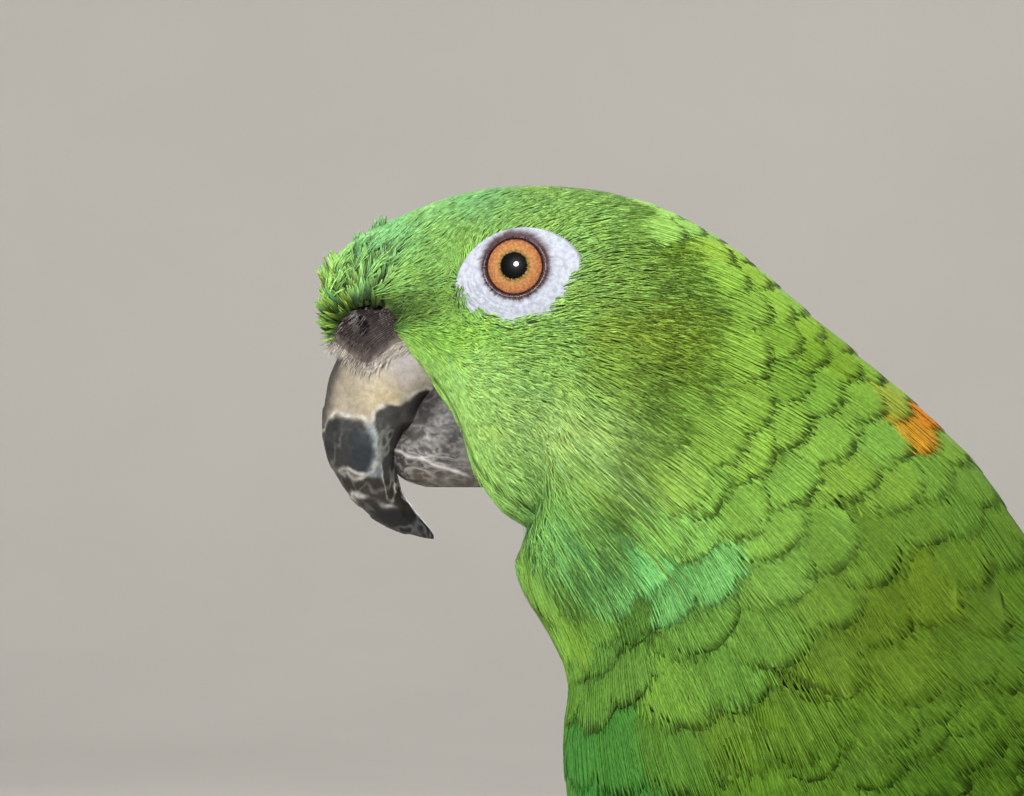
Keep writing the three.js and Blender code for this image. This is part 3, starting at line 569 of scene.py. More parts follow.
def surface_axes(surface, u, v, step_u, step_v):
    """Place, change of place for one step of u and of v, and the way out, at points of a surface."""
    by_u = (surface(u + step_u, v, 0) - surface(u - step_u, v, 0)) / (2 * step_u)
    by_v = (surface(u, v + step_v, 0) - surface(u, v - step_v, 0)) / (2 * step_v)
    point = surface(u, v, 0)
    out = unit(np.cross(by_u, by_v))
    facing = np.sum(out * (surface(u, v, 1.0) - point), -1, keepdims=True)
    return point, by_u, by_v, out * np.where(facing < 0, -1, 1)


class Coat:
    """Feather roots on a surface, with the way each feather lies there."""

    def __init__(self, surface, u, v, lie, wander, rng, step=(0.02, 0.4)):
        self.surface, self.u, self.v = surface, u, v
        self.point, self.by_u, self.by_v, self.out = surface_axes(surface, u, v, *step)
        flow = lie(self.point, u, v, self.by_u, self.out)
        turn = np.radians(rng.normal(0, 1, len(u)) * wander)[:, None]
        self.flow = unit(flow * np.cos(turn) + np.cross(self.out, flow) * np.sin(turn))

    def colours(self, length):
        """Plumage colour where the open part of each feather lies."""
        shown = 0.7 * length
        at = self.u + shown / np.linalg.norm(self.by_u, axis=1)
        return plumage_colour(self.point + self.flow * shown[:, None], self.v, at)

    def lay(self, pick, along, across, height):
        """Bends flat shapes onto the surface: a row of each array belongs to the root in pick."""
        by_u, by_v = self.by_u[pick][:, None], self.by_v[pick][:, None]
        side = np.cross(self.out[pick], self.flow[pick])
        want = along[..., None] * self.flow[pick][:, None] + across[..., None] * side[:, None]
        a, b = np.sum(want * by_u, -1), np.sum(want * by_v, -1)
        g11, g22, g12 = np.sum(by_u**2, -1), np.sum(by_v**2, -1), np.sum(by_u * by_v, -1)
        det = g11 * g22 - g12 * g12
        u = self.u[pick][:, None] + (a * g22 - b * g12) / det
        v = self.v[pick][:, None] + (b * g11 - a * g12) / det
        return self.surface(u, v, height)

    def bake_places(self, pick, patch_u, patch_v):
        """Each feather is a small patch of the bake map, at its root's place on the unrolled surface."""
        low = np.array([self.u.min(), self.v.min()])
        high = np.array([self.u.max(), self.v.max()])
        place = 0.01 + 0.98 * (np.stack([self.u, self.v], 1)[pick] - low) / (high - low + 1e-6)
        patch = np.stack(np.broadcast_arrays(patch_u, patch_v), -1) * BAKE_PATCH
        return (place[:, None] + patch).reshape(-1, 2)


BAKE_PATCH = 0.003                # side of a feather's patch of the bake map
ROOT_CELLS = 60                   # cells each way over which roots are drawn


def grown_roots(start, end, along_mm, across_mm, rng, side, test=None, per_feather=16):
    """Feather roots on one side from the front of a region to its back, each as near to those before
    it as the spacing along and across the feathers' lie allows. Gives sections and angles on the body."""
    cells = mesh_of(np.linspace(start, end, ROOT_CELLS), np.linspace(1, 179, ROOT_CELLS))
    grid_at, grid_angle = (values.ravel() for values in cells)
    _, by_section, by_degree, _ = surface_axes(bare_body, grid_at, grid_angle, 0.02, 0.4)
    area = np.linalg.norm(np.cross(by_section, by_degree), axis=1)
    area = area * (end - start) / ROOT_CELLS * 178 / ROOT_CELLS
    feathers = area / (along_mm(grid_at) * across_mm(grid_at))
    count = int(feathers.sum() * per_feather)
    picked = rng.choice(len(feathers), count, p=feathers / feathers.sum())
    at = grid_at[picked] + rng.uniform(-0.5, 0.5, count) * (end - start) / ROOT_CELLS
    angle = grid_angle[picked] + rng.uniform(-0.5, 0.5, count) * 178 / ROOT_CELLS
    if test is not None:
        kept = test(at, angle)
        at, angle = at[kept], angle[kept]
    order = np.argsort(at)
    at, angle = at[order], angle[order]
    point, by_section, _, out = surface_axes(bare_body, at, angle, 0.02, 0.4)
    lie = head_flow(point, at, angle, by_section, out)
    across = np.cross(out, lie)
    step_along, step_across = along_mm(at), across_mm(at)
    taken = np.zeros((len(at), 3))
    chosen = []
    for i in range(len(at)):
        away = taken[: len(chosen)] - point[i]
        near = (away @ lie[i] / step_along[i]) ** 2 + (away @ across[i] / step_across[i]) ** 2
        if not (near < 1).any():
            taken[len(chosen)] = point[i]
            chosen.append(i)
    return np.stack([at[chosen], angle[chosen]], 1) * (1, side)


def bare_body(at, angle, lift):
    return body_point(at, angle, lift, winged=False)


def sizes(*pairs, scale=1.0):
    """Function that reads a size between named sections, times a scale."""
    sections, values = zip(*pairs)

    def read(at):
        return np.interp(at, sections, values) * scale

    return read


BILL_NODES = ("upper_mandible", "lower_mandible", "cere")


def clear_of_bill(points, gap):
    """True where a place is further than gap outside the bill's solids."""
    clear = np.ones(len(points), bool)
    for name in BILL_NODES:
        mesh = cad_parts[name].data
        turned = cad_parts[name].matrix_world
        corners = [turned @ v.co for v in mesh.vertices]
        tree = BVHTree.FromPolygons(corners, [tuple(p.vertices) for p in mesh.polygons])
        for i in np.flatnonzero(clear):
            place = Vector(points[i] * MM)
            near, normal, _, distance = tree.find_nearest(place)
            clear[i] = (place - near).dot(normal) > 0 and distance > gap * MM
    return clear


def vary(colour, rng, light, hue):
    """Makes each feather a little lighter or darker, yellower or bluer than its neighbours."""
    brightness = 1 + rng.normal(0, light, len(colour))[:, None]
    warm = rng.normal(0, hue, len(colour))[:, None]
    return np.clip(colour * brightness * (1 + warm * np.array([1.2, 0.2, -1.6])), 0, 1)


def feather_piece(name, points, shapes, shades, flat, bake, material):
    """One mesh of many like feathers, from arrays with a row for each of them: its points, its
    colours and its places on both maps. Each feather has the same faces."""
    count, each = points.shape[:2]
    offset = (np.arange(count) * each)[:, None, None]
    faces = [(shape[None] + offset).reshape(-1, shape.shape[1]) for shape in shapes]
    piece = new_piece(name, points.reshape(-1, 3), faces, bpy.data.materials[material])
    add_colours(piece, "Plumage", shades.reshape(-1, 3))
    add_map(piece, "Vane", flat.reshape(-1, 2), active=True)
    add_map(piece, "OFBake", bake.reshape(-1, 2))
    return piece


def spike(rings, pointed):
    """A thin three-sided spike as points (share along, aside, over) and faces, pointed or cut off."""
    points = [(t, *corner) for t in rings for corner in ((-1, 0), (1, 0), (0, 1))]
    last = len(points) - 3
    faces = [(0, 2, 1)]
    for k in range(0, last, 3):
        for i, j in ((k, k + 1), (k + 1, k + 2), (k + 2, k)):
            faces += [(i, j, i + 3), (j, j + 3, i + 3)]
            if pointed and k + 3 == last:
                faces.append((i + 3, j + 3, last + 3))
    if pointed:
        points.append((1, 0, 0))
    else:
        faces.append((last, last + 1, last + 2))
    return np.array(points, float), np.array(faces)


# ---- barbs: the small loose feathers of the head ----
BARBS_PER_TUFT = 12
BARB_POINTS, BARB_FACES = spike((0.0, 0.55), pointed=True)
TUFT_FAN = math.radians(11)
TUFT_CURL = 0.06


def barb_tufts(name, coat, rng, length, width, depth, rise, colour):
    """Tufts of loose barbs. Their roots lie depth under the outline and their tips rise over it."""
    tufts = len(coat.u)
    count = tufts * BARBS_PER_TUFT
    tuft = np.repeat(np.arange(tufts), BARBS_PER_TUFT)
    spread = np.tile(np.linspace(-1, 1, BARBS_PER_TUFT), tufts) + rng.normal(0, 0.25, count)
    reach = length[tuft] * rng.uniform(0.65, 1.08, count)
    thick = width[tuft] * rng.uniform(0.75, 1.25, count)
    lean = TUFT_FAN * spread + rng.normal(0, 0.05, count)
    bend = rng.normal(0, TUFT_CURL, count)
    t, side, top = (BARB_POINTS[None, :, i] for i in range(3))
    taper = np.where(t > 0.3, 0.85, 1.0)
    aside = reach[:, None] * (lean[:, None] * t + bend[:, None] * t**2)
    across = (spread * width[tuft] * 2.4)[:, None] + aside + side * thick[:, None] / 2 * taper
    tip = rise[tuft] * rng.uniform(0.4, 1.4, count)
    height = tip[:, None] - (depth[tuft] + tip)[:, None] * (1 - t) ** 1.5
    height = height + top * thick[:, None] * 0.35 * taper
    along = reach[:, None] * t + (rng.uniform(-0.3, 0.2, count) * length[tuft])[:, None]
    points = coat.lay(tuft, along, across, height)
    shades = colour[tuft] * rng.uniform(0.86, 1.14, count)[:, None]
    # Each barb is darker towards its root: painted shade deep in the tuft.
    shades = shades[:, None] * (0.84 + 0.22 * t)[..., None]
    places = coat.bake_places(tuft, t - 0.5, spread[:, None] * 0.4)
    return feather_piece(name, points, [BARB_FACES], shades, places, places, "Head barbs")


# ---- vanes: the flat contour feathers ----
def vane_grid(rows, columns):
    """A closed thin vane as points (share along, share across, 1 on top or 0 underneath) and faces."""
    t = np.linspace(0, 1, rows) ** 0.85
    c = np.sin(np.linspace(-math.pi / 2, math.pi / 2, columns))
    points = np.array([(a, b, 1.0) for a in t for b in c] + [(a, 0.0, 0.0) for a in t])
    under = rows * columns
    quads = [grid_faces(rows, columns)[:, ::-1]]
    for r in range(rows - 1):
        left, right = r * columns, r * columns + columns - 1
        quads.append([(left, under + r, under + r + 1, left + columns),
                      (under + r, right, right + columns, under + r + 1)])
    ends = []
    for i in range(columns - 1):
        last = (rows - 1) * columns + i
        ends += [(under, i, i + 1), (under + rows - 1, last + 1, last)]
    return points, np.concatenate(quads), np.array(ends)


VANE_CUP = 0.06                   # how far a vane's sides curve down, as a share of its half width
VANE_FRAY = 0.02                  # unevenness of its tip, as a share of its length
ROOT_SHADE = 0.8                  # how light its covered root is: painted shade under the feathers that overlap it
EDGE_MM = 0.8                     # width of a dark border


def tip_arc(across):
    """How far a feather's round tip falls back at a share of its half width, in widths."""
    return 0.5 * (1 - np.sqrt(1 - 0.97 * np.clip(across, -1, 1) ** 2))


def vanes(name, material, coat, rng, length, width, depth, rise, colour, edge, rows, columns):
    """Contour feathers: closed thin vanes, cupped over the body, with rounded and frayed tips."""
    count = len(coat.u)
    grid, quads, ends = vane_grid(rows, columns)
    t, c, top = (grid[None, :, i] for i in range(3))
    half = width[:, None] / 2 * (0.45 + 0.55 * smooth(0, 0.45, t)) * (1 - 0.12 * smooth(0.6, 1.0, t))
    ragged = rng.normal(0, VANE_FRAY, (count, len(grid))) * (t > 0.99)
    rounded = smooth(0.2, 1.0, t) * tip_arc(c) * (width / length)[:, None]
    reach = length[:, None] * (t - rounded + ragged)
    across = half * c + length[:, None] * rng.normal(0, 0.05, count)[:, None] * t**2
    lifted = rise * rng.uniform(0.6, 1.3, count)
    height = lifted[:, None] - (depth + lifted)[:, None] * (1 - t) ** 1.7
    height = height - VANE_CUP * half * c**2 * smooth(0, 0.6, t)
    height = height + rng.normal(0, 0.02, count)[:, None] * half * c
    height = height + np.where(top > 0.5, 0.05, -0.12)
    everyone = np.arange(count)
    points = coat.lay(everyone, reach, across, height)
    # Each vane is darker towards its root: painted shade where the feathers over it cover it.
    shades = colour[:, None] * (ROOT_SHADE + (1.05 - ROOT_SHADE) * smooth(0.1, 0.7, t))[..., None]
    if edge is not None:
        from_edge = (length[:, None] * (1 - t) + 0.25 * half * smooth(0.95, 0.6, np.abs(c)))
        border = smooth(EDGE_MM * 1.9, EDGE_MM * 0.3, from_edge) * rng.uniform(0.6, 1.0, (count, 1))
        share = (edge[:, None] * border)[..., None]
        shades = shades * (1 - share) + linear_array(VANE_EDGE) * share
    flat = np.stack([0.5 + across / VANE_UNIT, reach / VANE_UNIT], -1)
    places = coat.bake_places(everyone, t - 0.5, c * 0.5)
    return feather_piece(name, points, [quads, ends], shades, flat, places, material)


COMB_POINTS, COMB_FACES = spike((0.0, 0.45, 0.84, 1.0), pointed=False)
COMB_FAN = 0.22


def barb_combs(name, coat, rng, length, width, depth, rise, colour, edge, barbs,
               thick=0.30, over=0.05, start=0.38):
    """The free ends of the barbs of contour feathers: combs of fine spikes over each vane, which
    soften its outline and carry the dark border."""
    feathers = len(coat.u)
    count = feathers * barbs
    each = np.repeat(np.arange(feathers), barbs)
    place = np.tile(np.linspace(-1, 1, barbs), feathers) + rng.normal(0, 0.5 / barbs, count)
    half, full = width[each] / 2, length[each]
    first = full * (start + 0.12 * rng.uniform(-1, 1, count) + 0.25 * place**2)
    last = full * (1 + over * rng.uniform(-0.6, 1.2, count)) - tip_arc(place) * width[each]
    last = np.maximum(last, first + 0.15 * full)
    t, side, top = (COMB_POINTS[None, :, i] for i in range(3))
    along = first[:, None] + (last - first)[:, None] * t
    spread = (1 - 0.12 * smooth(0.6, 1.0, along / full[:, None])) * (1 + COMB_FAN * (t - 0.5))
    taper = (0.5 + 0.5 * smooth(0.0, 0.4, t)) * (1 - 0.55 * smooth(0.84, 1.0, t))
    thickness = (thick * rng.uniform(0.8, 1.2, count))[:, None] * taper
    across = (half * place)[:, None] * spread + side * thickness / 2
    across = across + (full * rng.normal(0, 0.012, count))[:, None] * t
    buried = np.clip(1 - along / full[:, None], 0, 1) ** 1.7
    height = rise[each][:, None] - (depth + rise)[each][:, None] * buried
    height = height + 0.05 + 0.009 * full[:, None] + (rng.uniform(0, 0.12, count))[:, None] * t
    height = height + top * thickness * 0.4 - VANE_CUP * half[:, None] * place[:, None] ** 2
    points = coat.lay(each, along, across, height)
    shades = colour[each] * rng.uniform(0.90, 1.10, count)[:, None]
    # Each barb is a little darker towards its root: painted shade under the barbs over it.
    shades = shades[:, None] * (0.92 + 0.10 * t)[..., None]
    if edge is not None:
        share = (edge[each][:, None] * (t > 0.9) * rng.uniform(0.75, 1.0, (count, 1)))[..., None]
        shades = shades * (1 - share) + linear_array(BARB_EDGE) * share
    places = coat.bake_places(each, t - 0.5, place[:, None] * 0.4)
    return feather_piece(name, points, [COMB_FACES], shades, places, places, "Head barbs")


def lay_feathers(name, comb_name, slot, material, coat, rng, length, width, depth, rise, colour, edge=None,
                 rows=8, columns=13, **comb):
    """Contour feathers and the combs of barbs over them, as two pieces."""
    depth, rise = (np.broadcast_to(value, len(coat.u)) for value in (depth, rise))
    lie = (coat, rng, length, width, depth, rise, colour, edge)
    finish_piece(vanes(name, material, *lie, rows, columns), slot)
    finish_piece(barb_combs(comb_name, *lie, **comb), slot)


# ---- skin ----
SKIN_DEPTH = sizes((0, 2.4), (2, 2.2), (3.6, 1.1), (6, 1.4), (9, 1.7), (12, 2.0), (16, 2.3), (25, 1.8))
FOOT_MIDDLE = 88.0                # back from the eye's place to the middle of the soles
FOOT_OUT = 21.0                   # and out from the bird's middle
ANKLE_PLACE = (101.0, 20.0, 28.0)  # back from the eye, out, and up from the ground
THIGH_TOP = (82.0, 19.0, 78.0)
THIGH_RADII = (7, 12.5, 16, 16.5, 14.5, 10.5, 7)          # at equal steps from its top to the ankle
THIGH_FLATNESS = 0.86             # its width as a share of its depth
# Share of the tarsus's height, from the ankle down to the sole, and its radius there.
TARSUS_ROWS = ((1, 4.2), (0.8, 3.5), (0.55, 3.4), (0.34, 4.4), (0.2, 6.0), (0.06, 5.8), (0, 5.0))
# How far each toe reaches from the middle of the foot, and its turn from straight ahead, in degrees.
TOE_REACH = {"inner_front": 24, "outer_front": 34, "inner_back": 18, "outer_back": 29}
TOE_ANGLE = {"inner_front": 17, "outer_front": -21, "inner_back": 158, "outer_back": -150}
TOE_START = 3
LONG_TOE = 22                     # longer toes have three joints, the others two


def standing(back, out, height):
    """A place given back from the eye, out from the middle and up from the ground."""
    return np.array([EYE_PLACE[0] + back, out, height])


def circle_rows(centres, radii_x, radii_y, count=36):
    """Level rings round a row of centres."""
    turn = around(0, 2 * math.pi, count)
    x, y = np.outer(radii_x, np.cos(turn)), np.outer(radii_y, np.sin(turn))
    return centres[:, None] + np.stack([x, y, 0 * x], -1)


def thigh_point(share, turn, lift, side):
    """Outline of a feathered thigh from its top, share 0, to the ankle, with turn in degrees."""
    share, turn, lift = np.broadcast_arrays(np.asarray(share, float), turn, lift)
    radii = np.array(THIGH_RADII, float)[:, None]
    radius = spline(radii, np.clip(share, 0, 1) * (len(radii) - 1))[..., 0] + lift
    top, ankle = standing(*THIGH_TOP), standing(*ANKLE_PLACE)
    centre = top + (ankle - top) * share[..., None]
    angle = np.radians(turn)
    ring = np.stack([radius * np.cos(angle), radius * THIGH_FLATNESS * np.sin(angle), 0 * radius], -1)
    return (centre + ring) * (1, side, 1)


def tarsus_rings(side, margin=0.0):
    share = np.array([row[0] for row in TARSUS_ROWS], float)
    radius = np.array([row[1] for row in TARSUS_ROWS], float) + margin
    sole = standing(FOOT_MIDDLE, FOOT_OUT, 0)
    centres = sole + (standing(*ANKLE_PLACE) - sole) * share[:, None]
    return circle_rows(centres * (1, side, 1), radius * 1.08, radius)


def toe_axes(side, name):
    turn = math.radians(180 + TOE_ANGLE[name] * side)
    along = np.array([math.cos(turn), math.sin(turn), 0])
    return along, np.array([-along[1], along[0], 0])


def toe_thickness(name, share):
    joints = 3 if TOE_REACH[name] > LONG_TOE else 2
    knuckles = 1 + 0.1 * np.cos(2 * math.pi * joints * share)
    return (3.9 - 1.1 * share - 0.5 * smooth(0.8, 1.0, share)) * knuckles


def toe_rings(side, name, steps=24, count=24):
    """Toe from the middle of the foot to the claw, flat underneath."""
    along, across = toe_axes(side, name)
    share = np.linspace(0, 1, steps)
    radius = toe_thickness(name, share)
    distance = TOE_START + (TOE_REACH[name] - TOE_START) * share
    centre = standing(FOOT_MIDDLE, side * FOOT_OUT, 0) + np.outer(distance, along)
    centre[:, 2] = radius * 0.86
    turn = around(0, 2 * math.pi, count)
    rings = centre[:, None] + (radius[:, None] * np.sin(turn))[..., None] * across
    rings[..., 2] = np.maximum(0, rings[..., 2] + radius[:, None] * np.cos(turn))
    return rings


def skin_body_rings(settings):
    at, angle = mesh_of(np.linspace(0.0, LAST, 200), around(-180, 180, 160))
    return body_point(at, angle, -SKIN_DEPTH(at) * settings.depth)


def voxel_skin(piece, size):
    """Melts a piece's overlapping shells into one."""
    remesh = piece.modifiers.new("One skin", "REMESH")
    remesh.mode = "VOXEL"
    remesh.voxel_size = size * MM
    remesh.use_smooth_shade = True
    return plain_mesh(piece)


def plain_mesh(piece):
    """Replaces a piece's mesh with what its modifiers make of it, and removes them."""
    evaluated = piece.evaluated_get(bpy.context.evaluated_depsgraph_get())
    mesh = bpy.data.meshes.new_from_object(evaluated)
    piece.modifiers.clear()
    old, piece.data = piece.data, mesh
    mesh.name = piece.name
    if old.users == 0:
        bpy.data.meshes.remove(old)
    return piece


def vertex_places(piece):
    places = np.empty(len(piece.data.vertices) * 3, dtype=np.float32)
    piece.data.vertices.foreach_get("co", places)
    return places.reshape(-1, 3).astype(float) / MM


def set_vertex_places(piece, places):
    piece.data.vertices.foreach_set("co", (places * MM).astype(np.float32).ravel())
    piece.data.update()


def nearest_body(points):
    """Section and angle of the body nearest to each point."""
    at, angle = mesh_of(np.linspace(0, LAST, 120), around(-180, 180, 120))
    grid = body_point(at, angle, -2.0).reshape(-1, 3)
    tree = KDTree(len(grid))
    for i, place in enumerate(grid):
        tree.insert(place, i)
    tree.balance()
    found = np.array([tree.find(point)[1] for point in points])
    return at.ravel()[found], angle.ravel()[found]


SOCKET = -3.8                     # how far the skin lies behind the front of the eyeball, under the lids
CERE_CORE = 20.0                  # greatest reach of the skin under the cere, from the bill's middle
CERE_HALF = 3.4                   # and its half width there
DOWN_SHARE = 0.25                 # how much of the down's dull green shows in the skin's colour
TUFT_SHADE = 0.65                 # how much painted shade darkens the skin behind the frontal tuft


def sunk_at_eyes(points):
    """Sinks the skin behind each eyeball and its lids."""
    for side in SIDES.values():
        share, local = almond_place(points, side)
        _, axes = eye_axes(side)
        limit = SOCKET + 6.0 * smooth(1.1, 1.35, share)
        near = (local[:, 2] > limit) & (local[:, 2] > -12) & (share < 1.35)
        deep = np.where(near, local[:, 2] - limit, 0)
        points = points - deep[:, None] * axes[2]
    return points


def drawn_under_cere(points):
    """Draws the skin in under the cere, so that it doesn't come through it."""
    under = smooth(1.25, 1.0, cere_share(points)) * (points[:, 0] < EYE_PLACE[0] - 15)
    inside = np.sign(points[:, 1]) * np.minimum(np.abs(points[:, 1]), CERE_HALF)
    points[:, 1] += (inside - points[:, 1]) * under
    spoke = (points - EYE_PLACE - (CULMEN_MIDDLE[0], 0, CULMEN_MIDDLE[1])) * (1, 0, 1)
    excess = np.maximum(np.linalg.norm(spoke, axis=1) - CERE_CORE, 0) * under
    return points - unit(spoke) * excess[:, None]


def skin_colour(points, bare):
    """The coat's colours mixed with dull down, with painted shade behind the frontal tuft, and grey on the
    bare feet.
    """
    at, angle = nearest_body(points)
    colour = plumage_colour(points, angle, at) * (1 - DOWN_SHARE) + linear_array(DOWN) * DOWN_SHARE
    distance, rise = tuft_place(points)
    # Painted shade on the skin in the hollow behind the frontal tuft.
    shaded = smooth(17, 11, distance) * smooth(120, 100, rise) * smooth(-60, -40, rise)
    colour = colour * (1 - TUFT_SHADE * shaded[:, None])
    return colour * (1 - bare[:, None]) + linear_array(FOOT_GREY) * bare[:, None]


def make_skin(settings):
    """One closed skin for the head, the trunk, the thighs and the feet."""
    skin = bpy.data.materials["Skin and down"]
    shells = [loft_piece("skin", skin_body_rings(settings), skin)]
    for side in SIDES.values():
        share, turn = mesh_of(np.linspace(0, 1, 40), around(0, 360, 48))
        thigh = thigh_point(share, turn, -2.0 * smooth(1.0, 0.7, share), side)
        shells.append(loft_piece("thigh", thigh, skin))
        shells.append(loft_piece("tarsus", tarsus_rings(side), skin))
        for toe in TOES:
            shells.append(loft_piece("toe", toe_rings(side, toe), skin))
    piece = voxel_skin(join_pieces("skin", shells), settings.voxel)
    points = sunk_at_eyes(vertex_places(piece))
    points[:, 2] = np.maximum(points[:, 2], 0)
    points = drawn_under_cere(points)
    set_vertex_places(piece, points)
    bare = smooth(34, 26, points[:, 2])
    add_colours(piece, "Plumage", skin_colour(points, bare))
    add_values(piece, "Bare", bare)
    nodes = ["head", "neck", "trunk"]
    for side in SIDES:
        nodes += [f"wing_{side}", f"thigh_{side}", f"tarsus_{side}"]
        nodes += [f"toe_{toe}_{side}" for toe in TOES]
    finish_piece(piece, "plumage", *nodes)


# ---- the coat, piece by piece ----
def tuft_place(points):
    """Distance of places from the nostril, and their angle over straight ahead of it, in degrees."""
    from_nostril = points - EYE_PLACE - (NOSTRIL[0], 0, NOSTRIL[1])
    ahead, up = -from_nostril[..., 0], from_nostril[..., 2]
    return np.hypot(ahead, up), np.degrees(np.arctan2(up, ahead))


def cere_share(points):
    """How far out a place lies from the bare cere round the nostril: 1 where the feathers begin."""
    from_eye = points - EYE_PLACE
    return np.hypot((from_eye[..., 0] - NOSTRIL[0]) / 5.0, (from_eye[..., 2] - NOSTRIL[1] - 0.4) / 5.2)


def neck_start(angle):
    """Section where the broad feathers begin: early on the nape, later on the cheeks."""
    return 7.4 + 2.3 * smooth(25, 60, np.abs(angle)) - 1.2 * smooth(110, 150, np.abs(angle))


def face_coat(settings, side_name, rng):
    """Small loose feathers of the head, from the frontal tuft to behind the cheek, on one side."""
    side = SIDES[side_name]
    along_mm = sizes((0, 1.1), (3, 1.2), (6, 1.5), (12.5, 2.5), scale=settings.spacing)
    across_mm = sizes((0, 0.9), (3, 0.95), (6, 1.15), (12.5, 1.8), scale=settings.spacing)
    places = grown_roots(0.15, 12.5, along_mm, across_mm, rng, side, per_feather=12)
    first_vane = neck_start(places[:, 1])
    fading = smooth(first_vane + 3.2, first_vane + 1.2, places[:, 0])
    places = places[rng.uniform(0, 1, len(places)) < fading]
    points = body_point(places[:, 0], places[:, 1])
    share, _ = almond_place(points, side)
    inner = body_point(places[:, 0], places[:, 1], -1.0)
    kept = (share > 0.95) & clear_of_bill(points, 0.4) & clear_of_bill(inner, 0.0)
    kept &= cere_share(points) > 1.15
    distance, rise = tuft_place(points)
    behind = (distance > 13 + 3.5 * smooth(40, 80, rise)) | (rise > 112) | (rise < -40)
    kept &= behind | (rng.uniform(0, 1, len(points)) < 0.1)
    places, share = places[kept], share[kept]
    coat = Coat(body_point, *places.T, head_flow, wander=7, rng=rng)
    at = coat.u
    length = np.interp(at, (0, 3, 6, 12.5), (3.6, 4.3, 6.0, 11.5)) * settings.barb_length
    length = length * (0.42 + 0.58 * smooth(0.95, 1.7, share))
    jaw = zone(coat.point[:, 0] - EYE_PLACE[0], coat.point[:, 2] - EYE_PLACE[2], (-3, -40), (9, 7))
    length = length * (1 + 0.8 * jaw)
    width = np.interp(at, (0, 6, 12.5), (0.175, 0.185, 0.24)) * settings.barb_width
    depth = 1.0 + 0.5 * smooth(6, 9, at)
    rise = np.interp(at, (0, 4, 12.5), (0.25, 0.18, 0.22)) + 1.2 * jaw
    colour = vary(coat.colours(length), rng, 0.06, 0.04)
    piece = barb_tufts(f"face_feathers_{side_name}", coat, rng, length, width, depth, rise, colour)
    finish_piece(piece, "plumage")


def standing_blades(name, root, way, sideways, out, rng, length, width, colour, bend, places):
    """Free-standing narrow blades, bent towards out as they rise."""
    grid, quads, ends = vane_grid(9, 5)
    t, c, top = (grid[None, :, i] for i in range(3))
    half = width[:, None] / 2 * (0.5 + 0.5 * smooth(0, 0.3, t)) * (1 - t**2.2) + 0.03
    curve = bend[:, None] * length[:, None] * t**2
    along = length[:, None] * (t - 0.12 * bend[:, None] * t**2)
    thick = np.where(top > 0.5, 0.06, -0.10) - 0.25 * half * c**2
    points = root[:, None] + along[..., None] * way[:, None] + (half * c)[..., None] * sideways[:, None]
    points = points + (curve + thick)[..., None] * out[:, None]
    # The blades are painted much darker towards their roots: painted shade deep in the tuft and between the
    # blades.
    shades = colour[:, None] * (0.07 + 0.55 * smooth(0.2, 1.0, t))[..., None]
    aside = rng.uniform(0, 1, (len(root), 1))
    flat = np.stack([0.5 + half * c / VANE_UNIT, along / VANE_UNIT + aside], -1)
    patch = np.stack(np.broadcast_arrays(t - 0.5, c * 0.4), -1) * BAKE_PATCH
    return feather_piece(name, points, [quads, ends], shades, flat, places[:, None] + patch, "Contour vanes")


# Locks of the tuft's top: turn up from straight ahead, in degrees, and reach from the nostril.
CREST_LOCKS = ((54, 14.4), (65, 16.2), (72, 15.0), (86, 18.3), (96, 21.0), (102, 20.7))
TUFT_TRIALS = 1900                # places tried for the tuft's feathers
HANGING, CREST = 90, 96           # feathers that hang over the cere, and feathers of the top's locks


